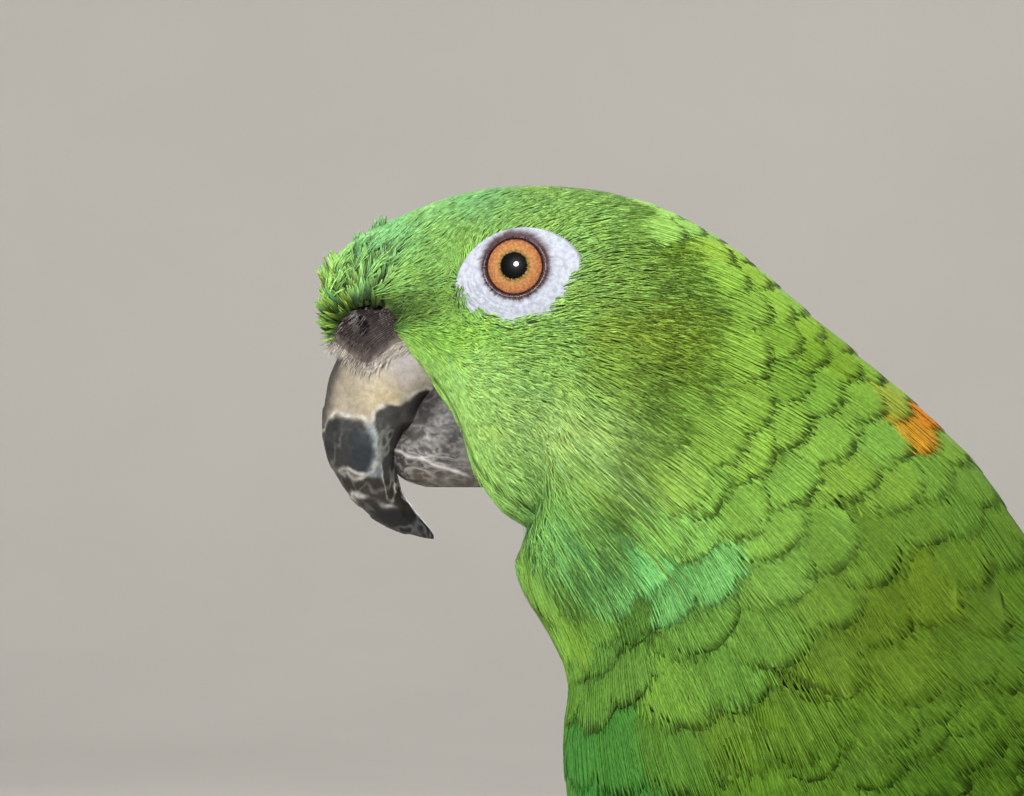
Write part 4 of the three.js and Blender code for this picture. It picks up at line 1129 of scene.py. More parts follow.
def frontal_tuft(rng):
    """Narrow feathers of the forehead's front. They fan out from the cere with their tips just over
    the head's outline, and the lowest hang over the front of the cere."""
    at = rng.uniform(0.0, 5.2, TUFT_TRIALS)
    angle = rng.uniform(-125, 125, TUFT_TRIALS)
    distance, rise = tuft_place(body_point(at, angle))
    lift = rng.uniform(-2.0, 0.5, TUFT_TRIALS) + 1.2 * smooth(60, 20, rise)
    tip = body_point(at, angle, lift)
    kept = (cere_share(tip) > 1.2) & clear_of_bill(tip, 0.2) & (rise > -30) & (rise < 114)
    kept &= rng.uniform(0, 1, TUFT_TRIALS) < smooth(5.4, 3.2, at)
    at, angle, tip = at[kept], angle[kept], tip[kept]
    _, _, _, out = surface_axes(body_point, at, angle, 0.02, 0.4)
    lock = rng.integers(0, len(CREST_LOCKS), CREST)
    lock_turn, lock_reach = np.array(CREST_LOCKS, float)[lock].T
    low = np.concatenate([rng.uniform(-32, 50, HANGING), lock_turn + rng.normal(0, 2.0, CREST)])
    low = np.radians(low)
    reach = 7.4 + 3.4 * smooth(-15, 45, np.degrees(low[:HANGING])) + rng.uniform(-1.6, 0.4, HANGING)
    reach = np.concatenate([reach, lock_reach - np.abs(rng.normal(0, 0.9, CREST))])
    sideways = np.concatenate([rng.uniform(-5.6, 5.6, HANGING), rng.uniform(-3.4, 3.4, CREST)])
    low_tip = [NOSTRIL[0] - reach * np.cos(low), sideways, NOSTRIL[1] + reach * np.sin(low)]
    low_tip = np.stack(low_tip, 1) + EYE_PLACE
    facing = unit(np.stack([0 * low - 0.3, np.sign(sideways), 0 * low], 1))
    tip, out = np.concatenate([tip, low_tip]), np.concatenate([out, facing])
    at = np.concatenate([at, np.full(len(low), 0.3)])
    angle = np.concatenate([angle, sideways * 20])
    distance, rise = tuft_place(tip)
    from_nostril = tip - EYE_PLACE - (NOSTRIL[0], 0, NOSTRIL[1])
    upward = np.outer(smooth(10, 50, rise), (0.0, 0.0, 0.2))
    way = unit(unit(from_nostril * (1, 0.25, 1)) + 0.12 * out + upward)
    way = unit(way + rng.normal(0, 0.08, way.shape))
    out = unit(out - way * np.sum(out * way, 1, keepdims=True))
    length = rng.uniform(4.0, 7.0, len(at)) * (0.65 + 0.35 * smooth(8, 13, distance))
    length[-CREST:] = rng.uniform(5.5, 8.5, CREST)
    length = np.clip(length, 1.5, np.maximum(distance - 4.4, 1.6))
    root = tip - way * length[:, None] - out * 0.2
    width = rng.uniform(1.0, 1.9, len(at)) * (0.55 + 0.45 * smooth(2.0, 5.0, length))
    width[-CREST:] *= 1.25
    colour = plumage_colour(tip, angle, at)
    lime = (smooth(0, -8, tip[:, 2] - EYE_PLACE[2]) * 0.5)[:, None]
    colour = vary(colour * (1 - lime) + linear_array(LIME) * lime, rng, 0.26, 0.10)
    places = np.stack([0.02 + 0.96 * at / 5.2, 0.5 + angle / 260], 1)
    bend = rng.normal(-0.08, 0.10, len(at))
    across = np.cross(out, way)
    piece = standing_blades("frontal_tuft", root, way, across, out, rng, length, width, colour, bend, places)
    finish_piece(piece, "plumage")


def nape_edges(coat, rng):
    """Dark borders of the nape's and neck's feathers, strongest on top and gone on the throat."""
    where = smooth(7.2, 8.6, coat.u) * smooth(13.4, 10.6, coat.u) * smooth(118, 74, np.abs(coat.v))
    from_eye = coat.point - EYE_PLACE
    where = np.maximum(where, 0.55 * zone(from_eye[:, 0], from_eye[:, 2], (22, -58), (14, 8)))
    return np.clip(0.06 + where * rng.uniform(0.75, 1.1, len(coat.u)), 0, 1)


def neck_coat(settings, side_name, rng):
    """Nape, neck and throat of one side: broad rounded feathers with dark borders on top."""
    along_mm = sizes((8, 4.2), (11, 6.2), (15, 8.0), scale=settings.spacing)
    across_mm = sizes((8, 5.0), (11, 8.0), (15, 9.8), scale=settings.spacing)
    places = grown_roots(7.4, 15.6, along_mm, across_mm, rng, SIDES[side_name])
    share, _ = almond_place(body_point(*places.T), SIDES[side_name])
    places = places[(share > 1.5) & (places[:, 0] > neck_start(places[:, 1]))]
    coat = Coat(body_point, *places.T, head_flow, wander=2.5, rng=rng)
    length = sizes((8, 13.0), (11, 19.0), (15, 24.0), scale=settings.vane_length)(coat.u)
    width = sizes((8, 9.5), (11, 14.0), (15, 18.0), scale=settings.vane_width)(coat.u)
    colour = vary(coat.colours(length), rng, 0.03, 0.03)
    names = f"neck_feathers_{side_name}", f"neck_barbs_{side_name}"
    edge = nape_edges(coat, rng)
    lay_feathers(*names, "plumage", "Contour vanes", coat, rng, length, width, 1.2, 0.05, colour, edge,
                 barbs=42)


BODY_FEATHERS = ((15, 11.0), (19, 12.5), (23, 10.0), (25, 9.0))
WING_FEATHERS = ((14.9, 7.5), (17, 9.5), (19, 12.5), (21, 14.0))


def body_coat(settings, name, side_name, test, rng, shade, edge_share):
    """A region of one side of the trunk under contour feathers."""
    along_mm = sizes(*BODY_FEATHERS, scale=0.72 * settings.spacing)
    across_mm = sizes(*BODY_FEATHERS, scale=0.86 * settings.spacing)
    places = grown_roots(15.8, 24.6, along_mm, across_mm, rng, SIDES[side_name], test)
    coat = Coat(body_point, *places.T, head_flow, wander=3, rng=rng)
    size = sizes(*BODY_FEATHERS)(coat.u)
    length = size * 2.1 * settings.vane_length
    width = size * 1.7 * settings.vane_width
    colour = vary(coat.colours(length), rng, 0.03, 0.03) * shade
    edge = edge_share * rng.uniform(0.6, 1.2, len(size)) * smooth(72, 35, np.abs(coat.v))
    names = f"{name}_feathers_{side_name}", f"{name}_barbs_{side_name}"
    lay_feathers(*names, "plumage", "Contour vanes", coat, rng, length, width, 1.4, 0.08, colour,
                 np.clip(edge, 0, 1), barbs=42, thick=0.36, over=0.10, start=0.28)


def on_wing(at, angle, margin=0.05):
    """Whether a place lies on the folded wing's coverts, grown by a margin."""
    _, across = wing_share(at, angle)
    inside = (across > 0.02 - margin) & (across < 1 + margin)
    return inside & (at > WING_FRONT + 0.15 - 5 * margin) & (at < WING_BACK + 0.4)


def on_back(at, angle):
    return ~on_wing(at, angle, -0.08) & (angle < 78)


def on_breast(at, angle):
    return ~on_wing(at, angle, -0.08) & (angle >= 82)


def make_body_coat(settings, rng):
    for side_name in SIDES:
        body_coat(settings, "back", side_name, on_back, rng, 0.95, 0.35)
        body_coat(settings, "breast", side_name, on_breast, rng, 1.0, 0.0)
    for name, side in SIDES.items():
        along_mm, across_mm = sizes(*WING_FEATHERS, scale=0.7), sizes(*WING_FEATHERS, scale=0.9)
        places = grown_roots(WING_FRONT - 0.3, WING_BACK + 0.3, along_mm, across_mm, rng, side, on_wing)
        coat = Coat(body_point, *places.T, head_flow, wander=2.5, rng=rng)
        size = sizes(*WING_FEATHERS)(coat.u)
        length, width = size * 2.1, size * 1.5
        colour = vary(coat.colours(length), rng, 0.05, 0.03)
        edge = np.full(len(size), 0.55)
        names = f"wing_coverts_{name}", f"wing_covert_barbs_{name}"
        lay_feathers(*names, "wing_feathers", "Covert vanes", coat, rng, length, width, 1.3, 0.1, colour,
                     edge, rows=10, barbs=24)


def lie_along(point, u, v, by_u, out):
    """Feathers that lie straight along their surface."""
    return unit(by_u)


def make_thigh_coat(rng):
    """Soft loose feathers down the thighs to the ankle."""
    rows = np.linspace(-0.1, 0.92, 15)
    for name, side in SIDES.items():
        share, turn = mesh_of(rows, around(0, 360, 13))
        turn = turn + np.where(np.arange(len(rows))[:, None] % 2, 14, 0)
        share = (share + rng.normal(0, 0.012, share.shape)).ravel()
        turn = (turn + rng.normal(0, 3, turn.shape)).ravel()
        surface = partial(thigh_point, side=side)
        coat = Coat(surface, share, turn, lie_along, wander=5, rng=rng, step=(0.01, 1.0))
        green = vary(np.repeat(linear_array(THIGH_GREEN)[None], len(share), 0), rng, 0.05, 0.04)
        width = sizes((0, 12), (0.6, 9.5), (0.93, 5.0))(share)
        names = f"thigh_feathers_{name}", f"thigh_barbs_{name}"
        lay_feathers(*names, "plumage", "Contour vanes", coat, rng, width * 1.5, width, 1.5, 0.15, green,
                     rows=7, columns=9, barbs=12, over=0.10, start=0.28)


# ---- flight feathers and tail ----
WING_TIP = (244.0, 8.0, -194.0)
FLIGHT_LIFT = 1.9
FLIGHT_START, FLIGHT_END = 20.75, 24.0
RUMP_SHARE = 0.5


def flight_point(along, share, lift, side):
    """Outer face of the folded flight feathers: on the rump at first, then together to the wing's tip."""
    along, share, lift = np.broadcast_arrays(np.asarray(along, float), share, lift)
    on_rump = np.minimum(1, along / RUMP_SHARE)
    past = np.maximum(0, (along - RUMP_SHARE) / (1 - RUMP_SHARE)) * 0.97
    at = FLIGHT_START + (FLIGHT_END - FLIGHT_START) * on_rump
    upper, lower = 22 - 10 * on_rump, 100 - 26 * on_rump
    middle = bare_body(at, side * (upper + lower) / 2, FLIGHT_LIFT + 1.4)
    tip = EYE_PLACE + np.array([WING_TIP[0], side * WING_TIP[1], WING_TIP[2]])
    centre = middle + (tip - middle) * past[..., None]
    spread = (1 - past**2) ** 0.7
    place = bare_body(at, side * (upper + (lower - upper) * share), FLIGHT_LIFT + 1.4 + lift)
    return centre + (place - middle) * spread[..., None]


def long_coverts(name, slot, surface, u, v, step, size, rise, rng):
    """Rows of longer feathers over the roots of the flight or tail feathers."""
    coat = Coat(surface, u, v, lie_along, wander=2, rng=rng, step=step)
    length, width = (np.full(len(u), mm) * rng.uniform(0.94, 1.06, len(u)) for mm in size)
    colour = vary(np.repeat(linear_array(BACK_GREEN)[None], len(u), 0), rng, 0.05, 0.04)
    lay_feathers(name, f"{name}_barbs", slot, "Covert vanes", coat, rng, length, width, 1.6, rise, colour,
                 np.full(len(u), 0.5), rows=12, barbs=24)


def long_feathers(name, node_name, shapes, points, shades, flats, places):
    """Long feathers laid one by one, as one piece."""
    lists = (np.array(rows) for rows in (points, shades, flats, places))
    points, shades, flats, places = lists
    piece = feather_piece(name, points, shapes, shades, flats, places, "Flight vanes")
    face_outwards(piece)
    finish_piece(piece, "flight_feathers", node_name)


FLIGHT_FEATHERS = 13              # seen on each folded wing
FLIGHT_GREEN, FLIGHT_BLUE, SPECULUM_RED = "#3C6A2C", "#27406E", "#9C2B1E"


def make_flight_feathers(rng):
    """Primaries and secondaries of each folded wing, the inner ones on top, their tips in steps."""
    grid, *shapes = vane_grid(26, 9)
    t, c, top = grid.T
    for name, side in SIDES.items():
        points, flats, shades, places = [], [], [], []
        for i in range(FLIGHT_FEATHERS):
            order = i / (FLIGHT_FEATHERS - 1)
            start, end = 0.10 * order, 0.56 + 0.44 * order**0.8
            along = start + (end - start) * t
            half = (0.16 - 0.05 * order) * (0.6 + 0.4 * smooth(0, 0.2, t))
            half = half * (1 - 0.55 * smooth(0.8, 1, t) * c**2)
            middle = 0.10 + 0.80 * order * (1 - 0.55 * t) + 0.10 * t
            pull = 0.03 * smooth(0.75, 1.0, t) * c**2
            lift = 0.9 - 1.3 * order + np.where(top > 0.5, 0.1, -0.25) - 0.25 * c**2 - 0.1 * (c > 0)
            points.append(flight_point(along - pull, middle + half * c, lift, side))
            flats.append(np.stack([0.5 + c * 0.75, (end - start) * t * 14 + 0.3 * order], -1))
            blue = (smooth(0.25, 0.85, t) * (0.35 + 0.65 * order))[:, None]
            shade = linear_array(FLIGHT_GREEN) * (1 - blue) + linear_array(FLIGHT_BLUE) * blue
            speculum = (0.25 < order < 0.65) * smooth(0.14, 0.2, t) * smooth(0.46, 0.36, t) * (c < 0.5)
            shade = shade * (1 - speculum[:, None]) + linear_array(SPECULUM_RED) * speculum[:, None]
            shade = shade * np.where(c[:, None] > 0.1, 0.8, 1.0) * rng.uniform(0.9, 1.1)
            shades.append(shade * (1 - 0.45 * smooth(0.8, 1.0, t))[:, None])
            strip = (i + 0.15 + 0.7 * (c + 1) / 2 * 0.9) / FLIGHT_FEATHERS
            places.append(np.stack([0.02 + 0.96 * t, strip], -1))
        names = f"flight_vanes_{name}", f"flight_feathers_{name}"
        long_feathers(*names, shapes, points, shades, flats, places)
        along, share = mesh_of((-0.12, -0.07, -0.02), np.linspace(0.12, 0.97, 9))
        along = (along + rng.normal(0, 0.006, along.shape)).ravel()
        share = (share + rng.normal(0, 0.012, share.shape)).ravel()
        surface = partial(flight_point, side=side)
        long_coverts(f"greater_coverts_{name}", "wing_feathers", surface, along, share, (0.004, 0.02),
                     (27, 12.5), 1.3 - 1.0 * share, rng)


TAIL_LENGTH = 122
TAIL_SLOPE = math.radians(27)
TAIL_ROOT = (172.0, -165.0)
TAIL_PAIRS = 6
TAIL_ROOF = 0.2                   # slope of each half of the tail to its side
TAIL_GREEN, OUTER_TAIL_GREEN, TAIL_TIP, TAIL_RED = "#3F7F35", "#3A6E3A", "#9DB24A", "#A8402A"


def tail_top(along, across, lift):
    """Upper face of the tail, in millimetres from its root, which slopes a little to both sides."""
    along, across, lift = np.broadcast_arrays(np.asarray(along, float), across, lift)
    height = lift - TAIL_ROOF * np.abs(across)
    cos, sin = math.cos(TAIL_SLOPE), math.sin(TAIL_SLOPE)
    back = TAIL_ROOT[0] + along * cos + height * sin
    return np.stack([back, across, TAIL_ROOT[1] - along * sin + height * cos], -1) + EYE_PLACE


def make_tail(rng):
    """Twelve long feathers, the middle pair on top and each further pair a layer deeper."""
    grid, *shapes = vane_grid(30, 13)
    t, c, top = grid.T
    points, flats, shades, places = [], [], [], []
    for side in SIDES.values():
        root = EYE_PLACE + (TAIL_ROOT[0], side * 2.0, TAIL_ROOT[1])
        aim = [TAIL_LENGTH * math.cos(TAIL_SLOPE), side * 4.0, -TAIL_LENGTH * math.sin(TAIL_SLOPE)]
        along = unit(np.array(aim))
        across = unit(np.cross(np.array([0, side * 0.2, 1.0]), along))
        out = np.cross(along, across)
        for pair in range(TAIL_PAIRS):
            share = pair / (TAIL_PAIRS - 1)
            length = TAIL_LENGTH * (1 - 0.1 * share**1.5)
            half = (11 - 2 * share) * (0.7 + 0.3 * smooth(0, 0.5, t))
            rounded = half.max() * 0.62 * smooth(0.72, 1.0, t) * np.abs(c) ** 2.2
            x, y = length * t - rounded, half * c
            turn = math.radians(side * 6 * share)
            sin, cos = math.sin(turn), math.cos(turn)
            x, y = x * cos - y * sin, x * sin + y * cos + side * 1.2 * pair
            z = 1.0 + 0.35 * (pair == 0) * (side > 0) - pair * 0.65 - 0.5 * c**2
            z = z + np.where(top > 0.5, 0.12, -0.2)
            points.append(root + x[:, None] * along + y[:, None] * across + z[:, None] * out)
            flats.append(np.stack([0.5 + half * c / VANE_UNIT, length * t / VANE_UNIT], -1))
            green = linear_array(TAIL_GREEN) * (1 - share) + linear_array(OUTER_TAIL_GREEN) * share
            tip = smooth(0.6, 0.92, t)[:, None]
            red = (smooth(0.28, 0.14, t) * smooth(0.08, 0.14, t) * share * 0.8)[:, None]
            shade = green * (1 - tip) + linear_array(TAIL_TIP) * tip
            shade = shade * (1 - red) + linear_array(TAIL_RED) * red
            shades.append(shade * rng.uniform(0.92, 1.08))
            strip = (len(places) + 0.1 + 0.8 * (c + 1) / 2) / (2 * TAIL_PAIRS)
            places.append(np.stack([0.02 + 0.96 * t, strip], -1))
    long_feathers("tail_feathers", "tail", shapes, points, shades, flats, places)
    along, across = mesh_of((-16.0, -9.0, -2.0, 5.0), np.linspace(-9, 9, 5))
    along = (along + rng.normal(0, 0.8, along.shape)).ravel()
    across = (across + rng.normal(0, 0.6, across.shape)).ravel()
    long_coverts("tail_coverts", "plumage", tail_top, along, across, (1.0, 1.0), (27, 12), 1.9, rng)


# ---- bill and cere ----
CULMEN_MIDDLE = (-14.0, -27.0)
CULMEN_BASE, CULMEN_TIP = 96.0, 268.0
NOSTRIL = (-26.7, -10.9)


def upper_bill(along, turn, margin):
    """Upper mandible: along from its base to its tip, turn round it from its ridge, in radians."""
    along, turn, margin = np.broadcast_arrays(np.asarray(along, float), turn, margin)
    angle = np.radians(CULMEN_BASE + (CULMEN_TIP - CULMEN_BASE) * along)
    hook = np.clip((along - 0.47) / 0.53, 0, 1)
    outer = 22.6 - 2.0 * smooth(0, 0.5, along)
    depth = 0.7 + 16.9 * (1 - hook) ** 0.72
    half = 8.4 * (0.88 + 0.12 * smooth(0, 0.2, along)) * (1 - 0.93 * hook**1.5)
    out = np.cos(turn)
    reach = depth * np.where(out > 0, 0.55, 0.45) + margin
    radius = outer - depth * 0.55 + power(out, 0.9) * reach
    across = power(np.sin(turn), 0.85) * (half + margin)
    back = CULMEN_MIDDLE[0] + radius * np.cos(angle)
    up = CULMEN_MIDDLE[1] + radius * np.sin(angle)
    return np.stack([back, across, up], -1) + EYE_PLACE


def over_cere_line(point):
    """Distance over the line where the cere ends on the bill. It dips in the middle of each side."""
    from_eye = point - EYE_PLACE
    back, up = from_eye[..., 0], from_eye[..., 2]
    return up + 13.4 + 4.4 * np.exp(-(((back + 26.3) / 4.4) ** 2))


def paint(colour, shade, share):
    """Lays a colour over others by its share at each place."""
    return colour + (linear_array(shade) - colour) * np.clip(share, 0, 1)[..., None]


def vein(value, level, width):
    """A thin line where a value passes a level."""
    return np.exp(-(((value - level) / width) ** 2))


def upper_bill_colour(point):
    """Horn of the upper bill: cream at its base, bluish on the ridge, slate patches edged by pale
    flakes in the middle, brownish below them and nearly black at the tip."""
    from_eye = point - EYE_PLACE
    back = from_eye[..., 0] + 2.5 * rough_noise(point, 4.5, 31, 4)
    up = from_eye[..., 2] + 2.5 * rough_noise(point, 4.5, 41, 4)
    from_middle = np.hypot(from_eye[..., 0] - CULMEN_MIDDLE[0], from_eye[..., 2] - CULMEN_MIDDLE[1])
    fine = rough_noise(point, 1.2, 51, 3)
    colour = np.ones(point.shape) * linear_array("#7A7263")
    colour = paint(colour, "#8E815E", 0.8 * zone(back, up, (-23.5, -22.0), (2.6, 4.5)))
    colour = paint(colour, "#807B78", zone(back, up, (-19.5, -16.5), (4.0, 4.0)))
    colour = paint(colour, "#101316", 0.85 * smooth(18.4, 21.0, from_middle + 0.8 * fine))
    slate = zone(back, up, (-29.9, -31.2), (4.9, 5.9))
    grey = zone(back, up, (-25.0, -32.5), (4.6, 5.0))
    brown = smooth(-36.0, -37.6, up)
    tomium = zone(back, up, (-17.5, -27.5), (5.6, 5.2)) + zone(back, up, (-22.5, -34.0), (1.6, 6.0))
    tip = smooth(-41.4, -43.6, up)
    colour = paint(colour, "#4F5658", smooth(0.40, 0.62, grey))
    colour = paint(colour, "#7E8789", zone(back, up, (-25.6, -29.0), (2.2, 1.3)))
    colour = paint(colour, "#15181D", smooth(0.42, 0.60, slate) * (0.93 + 0.07 * fine))
    colour = paint(colour, "#2C2A29", smooth(0.42, 0.60, tomium))
    colour = paint(colour, "#211D19", brown)
    colour = paint(colour, "#141315", tip)
    pale = np.maximum(vein(slate, 0.44, 0.04), vein(up, -36.4, 0.30) * (back < -25))
    pale = np.maximum(pale, vein(up + 0.2 * back, -46.0, 0.45) * smooth(-21, -24, back))
    pale = np.maximum(pale, vein(tomium, 0.48, 0.05))
    pale = pale * smooth(-0.5, 0.35, rough_noise(point, 2.6, 61, 3))
    colour = paint(colour, "#9D9A94", pale * 0.9)
    wisps = vein(rough_noise(point * (1.0, 1.0, 0.55), 3.4, 71, 3), 0.0, 0.06) * smooth(-26, -30, up)
    colour = paint(colour, "#7C7D7A", wisps * (0.5 - 0.3 * brown) * (1 - 0.6 * smooth(0.42, 0.6, slate)))
    return colour * (1 + 0.16 * fine)[..., None]


def lower_bill_colour(point):
    """Horn of the lower bill: dark grey, with ragged pale flakes, most of them by its front."""
    from_eye = point - EYE_PLACE
    back, up = from_eye[..., 0], from_eye[..., 2]
    warp = rough_noise(point, 4.0, 81, 3)
    colour = np.ones(point.shape) * linear_array("#33302F")
    colour = paint(colour, "#57534F", smooth(-0.1, 0.5, rough_noise(point, 5.0, 83, 2)) * 0.8)
    colour = paint(colour, "#3E3833", smooth(-34.0, -36.5, up + 1.5 * warp))
    colour = paint(colour, "#161517", zone(back, up, (-12.5, -26.0), (3.5, 4.5)) * 0.9)
    bent = point * (0.75, 0.6, 1.5) + 1.6 * warp[..., None]
    flakes = vein(rough_noise(bent, 3.0, 85, 3), 0.0, 0.10)
    flakes = np.maximum(flakes, 0.8 * vein(rough_noise(bent, 1.8, 87, 3), 0.1, 0.09))
    front = zone(back, up, (-16.5, -32.5), (6.0, 4.0))
    colour = paint(colour, "#75726E", flakes * (0.2 + 0.8 * front))
    colour = paint(colour, "#605D5A", smooth(0.0, 0.6, rough_noise(point, 2.2, 89, 3)) * front * 0.6)
    lip = vein(up + 0.30 * back + 0.9 * warp, -38.6, 0.35) * smooth(-7, -11, back)
    colour = paint(colour, "#A3A09B", 0.7 * lip)
    return colour * (1 + 0.2 * rough_noise(point, 1.0, 91, 3))[..., None]


def horn_piece(name, rings, colour, material, slot, node_name):
    """A closed skin over rings of points, with the colours of its points painted on it."""
    piece = loft_piece(name, rings, bpy.data.materials[material])
    ends = np.stack([colour[0].mean(0), colour[-1].mean(0)])
    add_colours(piece, "Horn", np.concatenate([colour.reshape(-1, 3), ends]))
    face_outwards(piece)
    finish_piece(piece, slot, node_name)


def make_upper_mandible(settings):
    along, turn = mesh_of(np.linspace(0, 1, 200), around(0, 2 * math.pi, 130))
    plain = upper_bill(along, turn, 0.0)
    flakes = rough_noise(plain, 2.6, 3, 3) * 0.14
    layers = -0.30 * smooth(-0.1, 0.25, rough_noise(plain, 5.0, 61, 3)) * smooth(0.2, 0.45, along)
    colour = upper_bill_colour(plain)
    relief = 0.25 * (colour.mean(-1) - 0.25)
    hidden = -2.2 * smooth(0.4, 2.0, over_cere_line(plain))
    margin = (flakes + layers + relief) * settings.wear * smooth(1.0, 0.9, along) + hidden
    horn_piece("bill_upper", upper_bill(along, turn, margin), colour, "Bill horn", "horn", "upper_mandible")


SCOOP = np.array((
    (-19.0, -14.6, 5.6), (-23.2, -17.2, 6.6), (-27.2, -19.8, 7.2), (-31.8, -22.0, 7.2),
    (-34.8, -21.8, 6.8), (-37.0, -20.0, 6.0), (-38.3, -16.2, 4.8),
))                                # height, front and half width of level sections of the lower mandible
SCOOP_BACK = -3.0


def make_lower_mandible(settings):
    row, turn = mesh_of(np.linspace(0, len(SCOOP) - 1, 100), around(0, 2 * math.pi, 150))
    section = spline(SCOOP, row)
    up, front, half = section[..., 0], section[..., 1], section[..., 2]
    x, y = power(np.cos(turn), 0.8), power(np.sin(turn), 0.7)
    plain = np.stack([SCOOP_BACK - (SCOOP_BACK - front) / 2 * (1 - x), half * y, up], -1) + EYE_PLACE
    middle = np.stack([(SCOOP_BACK + front) / 2, 0 * up, up], -1) + EYE_PLACE
    colour = lower_bill_colour(plain)
    relief = 1.1 * (colour.mean(-1) - 0.1) + 0.16 * rough_noise(plain, 2.4, 5, 3)
    rings = plain + unit(plain - middle) * (relief * settings.wear)[..., None]
    horn_piece("bill_lower", rings, colour, "Bill horn", "dark_horn", "lower_mandible")


def cere_swelling(points):
    """How far the fleshy cere swells over the bill, round the nostrils and at its front."""
    from_eye = points - EYE_PLACE
    swollen = 2.7 * zone(from_eye[..., 0], from_eye[..., 2], (-26.6, -8.2), (5.6, 5.2))
    swollen = swollen + 1.4 * zone(from_eye[..., 0], from_eye[..., 2], (-31.5, -12.0), (3.0, 3.0))
    return swollen * (0.55 + 0.45 * smooth(0.5, 4.0, np.abs(from_eye[..., 1])))


def make_cere():
    along, turn = mesh_of(np.linspace(-0.02, 0.5, 150), around(0, 2 * math.pi, 140))
    plain = upper_bill(along, turn, 0.9)
    above = over_cere_line(plain)
    from_eye = plain - EYE_PLACE
    distance = np.hypot(from_eye[..., 0] - NOSTRIL[0], from_eye[..., 2] - NOSTRIL[1])
    swollen = cere_swelling(plain)
    wrinkles = rough_noise(plain, 1.4, 12, 3) * 0.16
    margin = 0.55 + wrinkles + swollen - 2.4 * smooth(0.6, -0.5, above)
    margin = margin + 0.3 * np.exp(-(((distance - 2.0) / 0.8) ** 2)) - 2.4 * smooth(1.4, 0.6, distance)
    streak = rough_noise(plain * (1.0, 1.0, 0.35), 0.9, 14, 2)
    colour = np.ones(plain.shape) * linear_array("#231C1A")
    colour = paint(colour, "#6E645D", smooth(3.4, 1.2, above + 0.9 * streak))
    colour = paint(colour, "#A39A92", smooth(1.4, 0.2, above + 0.7 * streak))
    colour = paint(colour, "#1A1413", smooth(4.4, 2.0, distance + 0.8 * streak) * 0.85)
    # Nearly black in the nostril: painted shade in its hollow.
    colour = paint(colour, "#0B0808", smooth(1.7, 0.9, distance))
    horn_piece("cere_skin", upper_bill(along, turn, margin), colour, "Cere skin", "cere_skin", "cere")


# ---- eyes ----
def eye_point(side, x, y, z):
    """A place in an eye's axes: back, up and out from the front of the eyeball."""
    middle, axes = eye_axes(side)
    local = np.stack(np.broadcast_arrays(x, y, np.asarray(z, float) + EYE_DEPTH), -1)
    return middle + local @ axes


def make_eyes():
    for name, side in SIDES.items():
        tilt, turn = mesh_of(np.linspace(0.004, math.pi - 0.004, 64), around(0, 2 * math.pi, 96))
        x, y = np.sin(tilt) * np.cos(turn) * EYE_RADIUS, np.sin(tilt) * np.sin(turn) * EYE_RADIUS
        z = (np.cos(tilt) - 1) * EYE_DEPTH
        piece = loft_piece(f"eyeball_{name}", eye_point(side, x, y, z), bpy.data.materials["Eye"])
        local = np.concatenate([np.stack([x, y], -1).reshape(-1, 2), [[0, 0], [0, 0]]])
        add_map(piece, "Iris", 0.5 + local / IRIS_MAP_MM, active=True)
        face_outwards(piece)
        finish_piece(piece, "eye", f"eye_{name}")


def almond_outline(turn):
    """Outline of the bare skin in the eye's axes."""
    x = EYE_PATCH[0] / 2 * np.cos(turn)
    y = EYE_PATCH[1] / 2 * power(np.sin(turn), 1.2)
    c, s = math.cos(EYE_PATCH_TILT), math.sin(EYE_PATCH_TILT)
    return EYE_PATCH_OFFSET[0] + x * c - y * s, EYE_PATCH_OFFSET[1] + x * s + y * c


# Profile of the lids from the eyeball outwards: share of the way to the almond's outline, and height.
LID_PROFILE = (
    (-0.10, -3.6), (-0.06, -2.2), (0.0, -1.62), (0.03, -1.30), (0.07, -1.12),
    (0.12, -1.12), (0.17, -1.28), (0.22, -1.45), (0.30, -1.55), (0.5, -1.75),
    (0.75, -2.05), (1.0, -2.3), (1.13, -2.5), (1.22, -3.6), (1.15, -4.6),
)


def lid_places(side, turn, share, height):
    """Places on the bare skin round the eye, from the rim of the iris, share 0, to the almond's outline."""
    outline = almond_outline(turn)
    # The almond's own turn and the rim's turn start from the same corner.
    tilt = turn + EYE_PATCH_TILT
    x = IRIS_RADIUS * np.cos(tilt) * (1 - share) + outline[0] * share
    y = IRIS_RADIUS * np.sin(tilt) * (1 - share) + outline[1] * share
    return eye_point(side, x, y, height), x, y


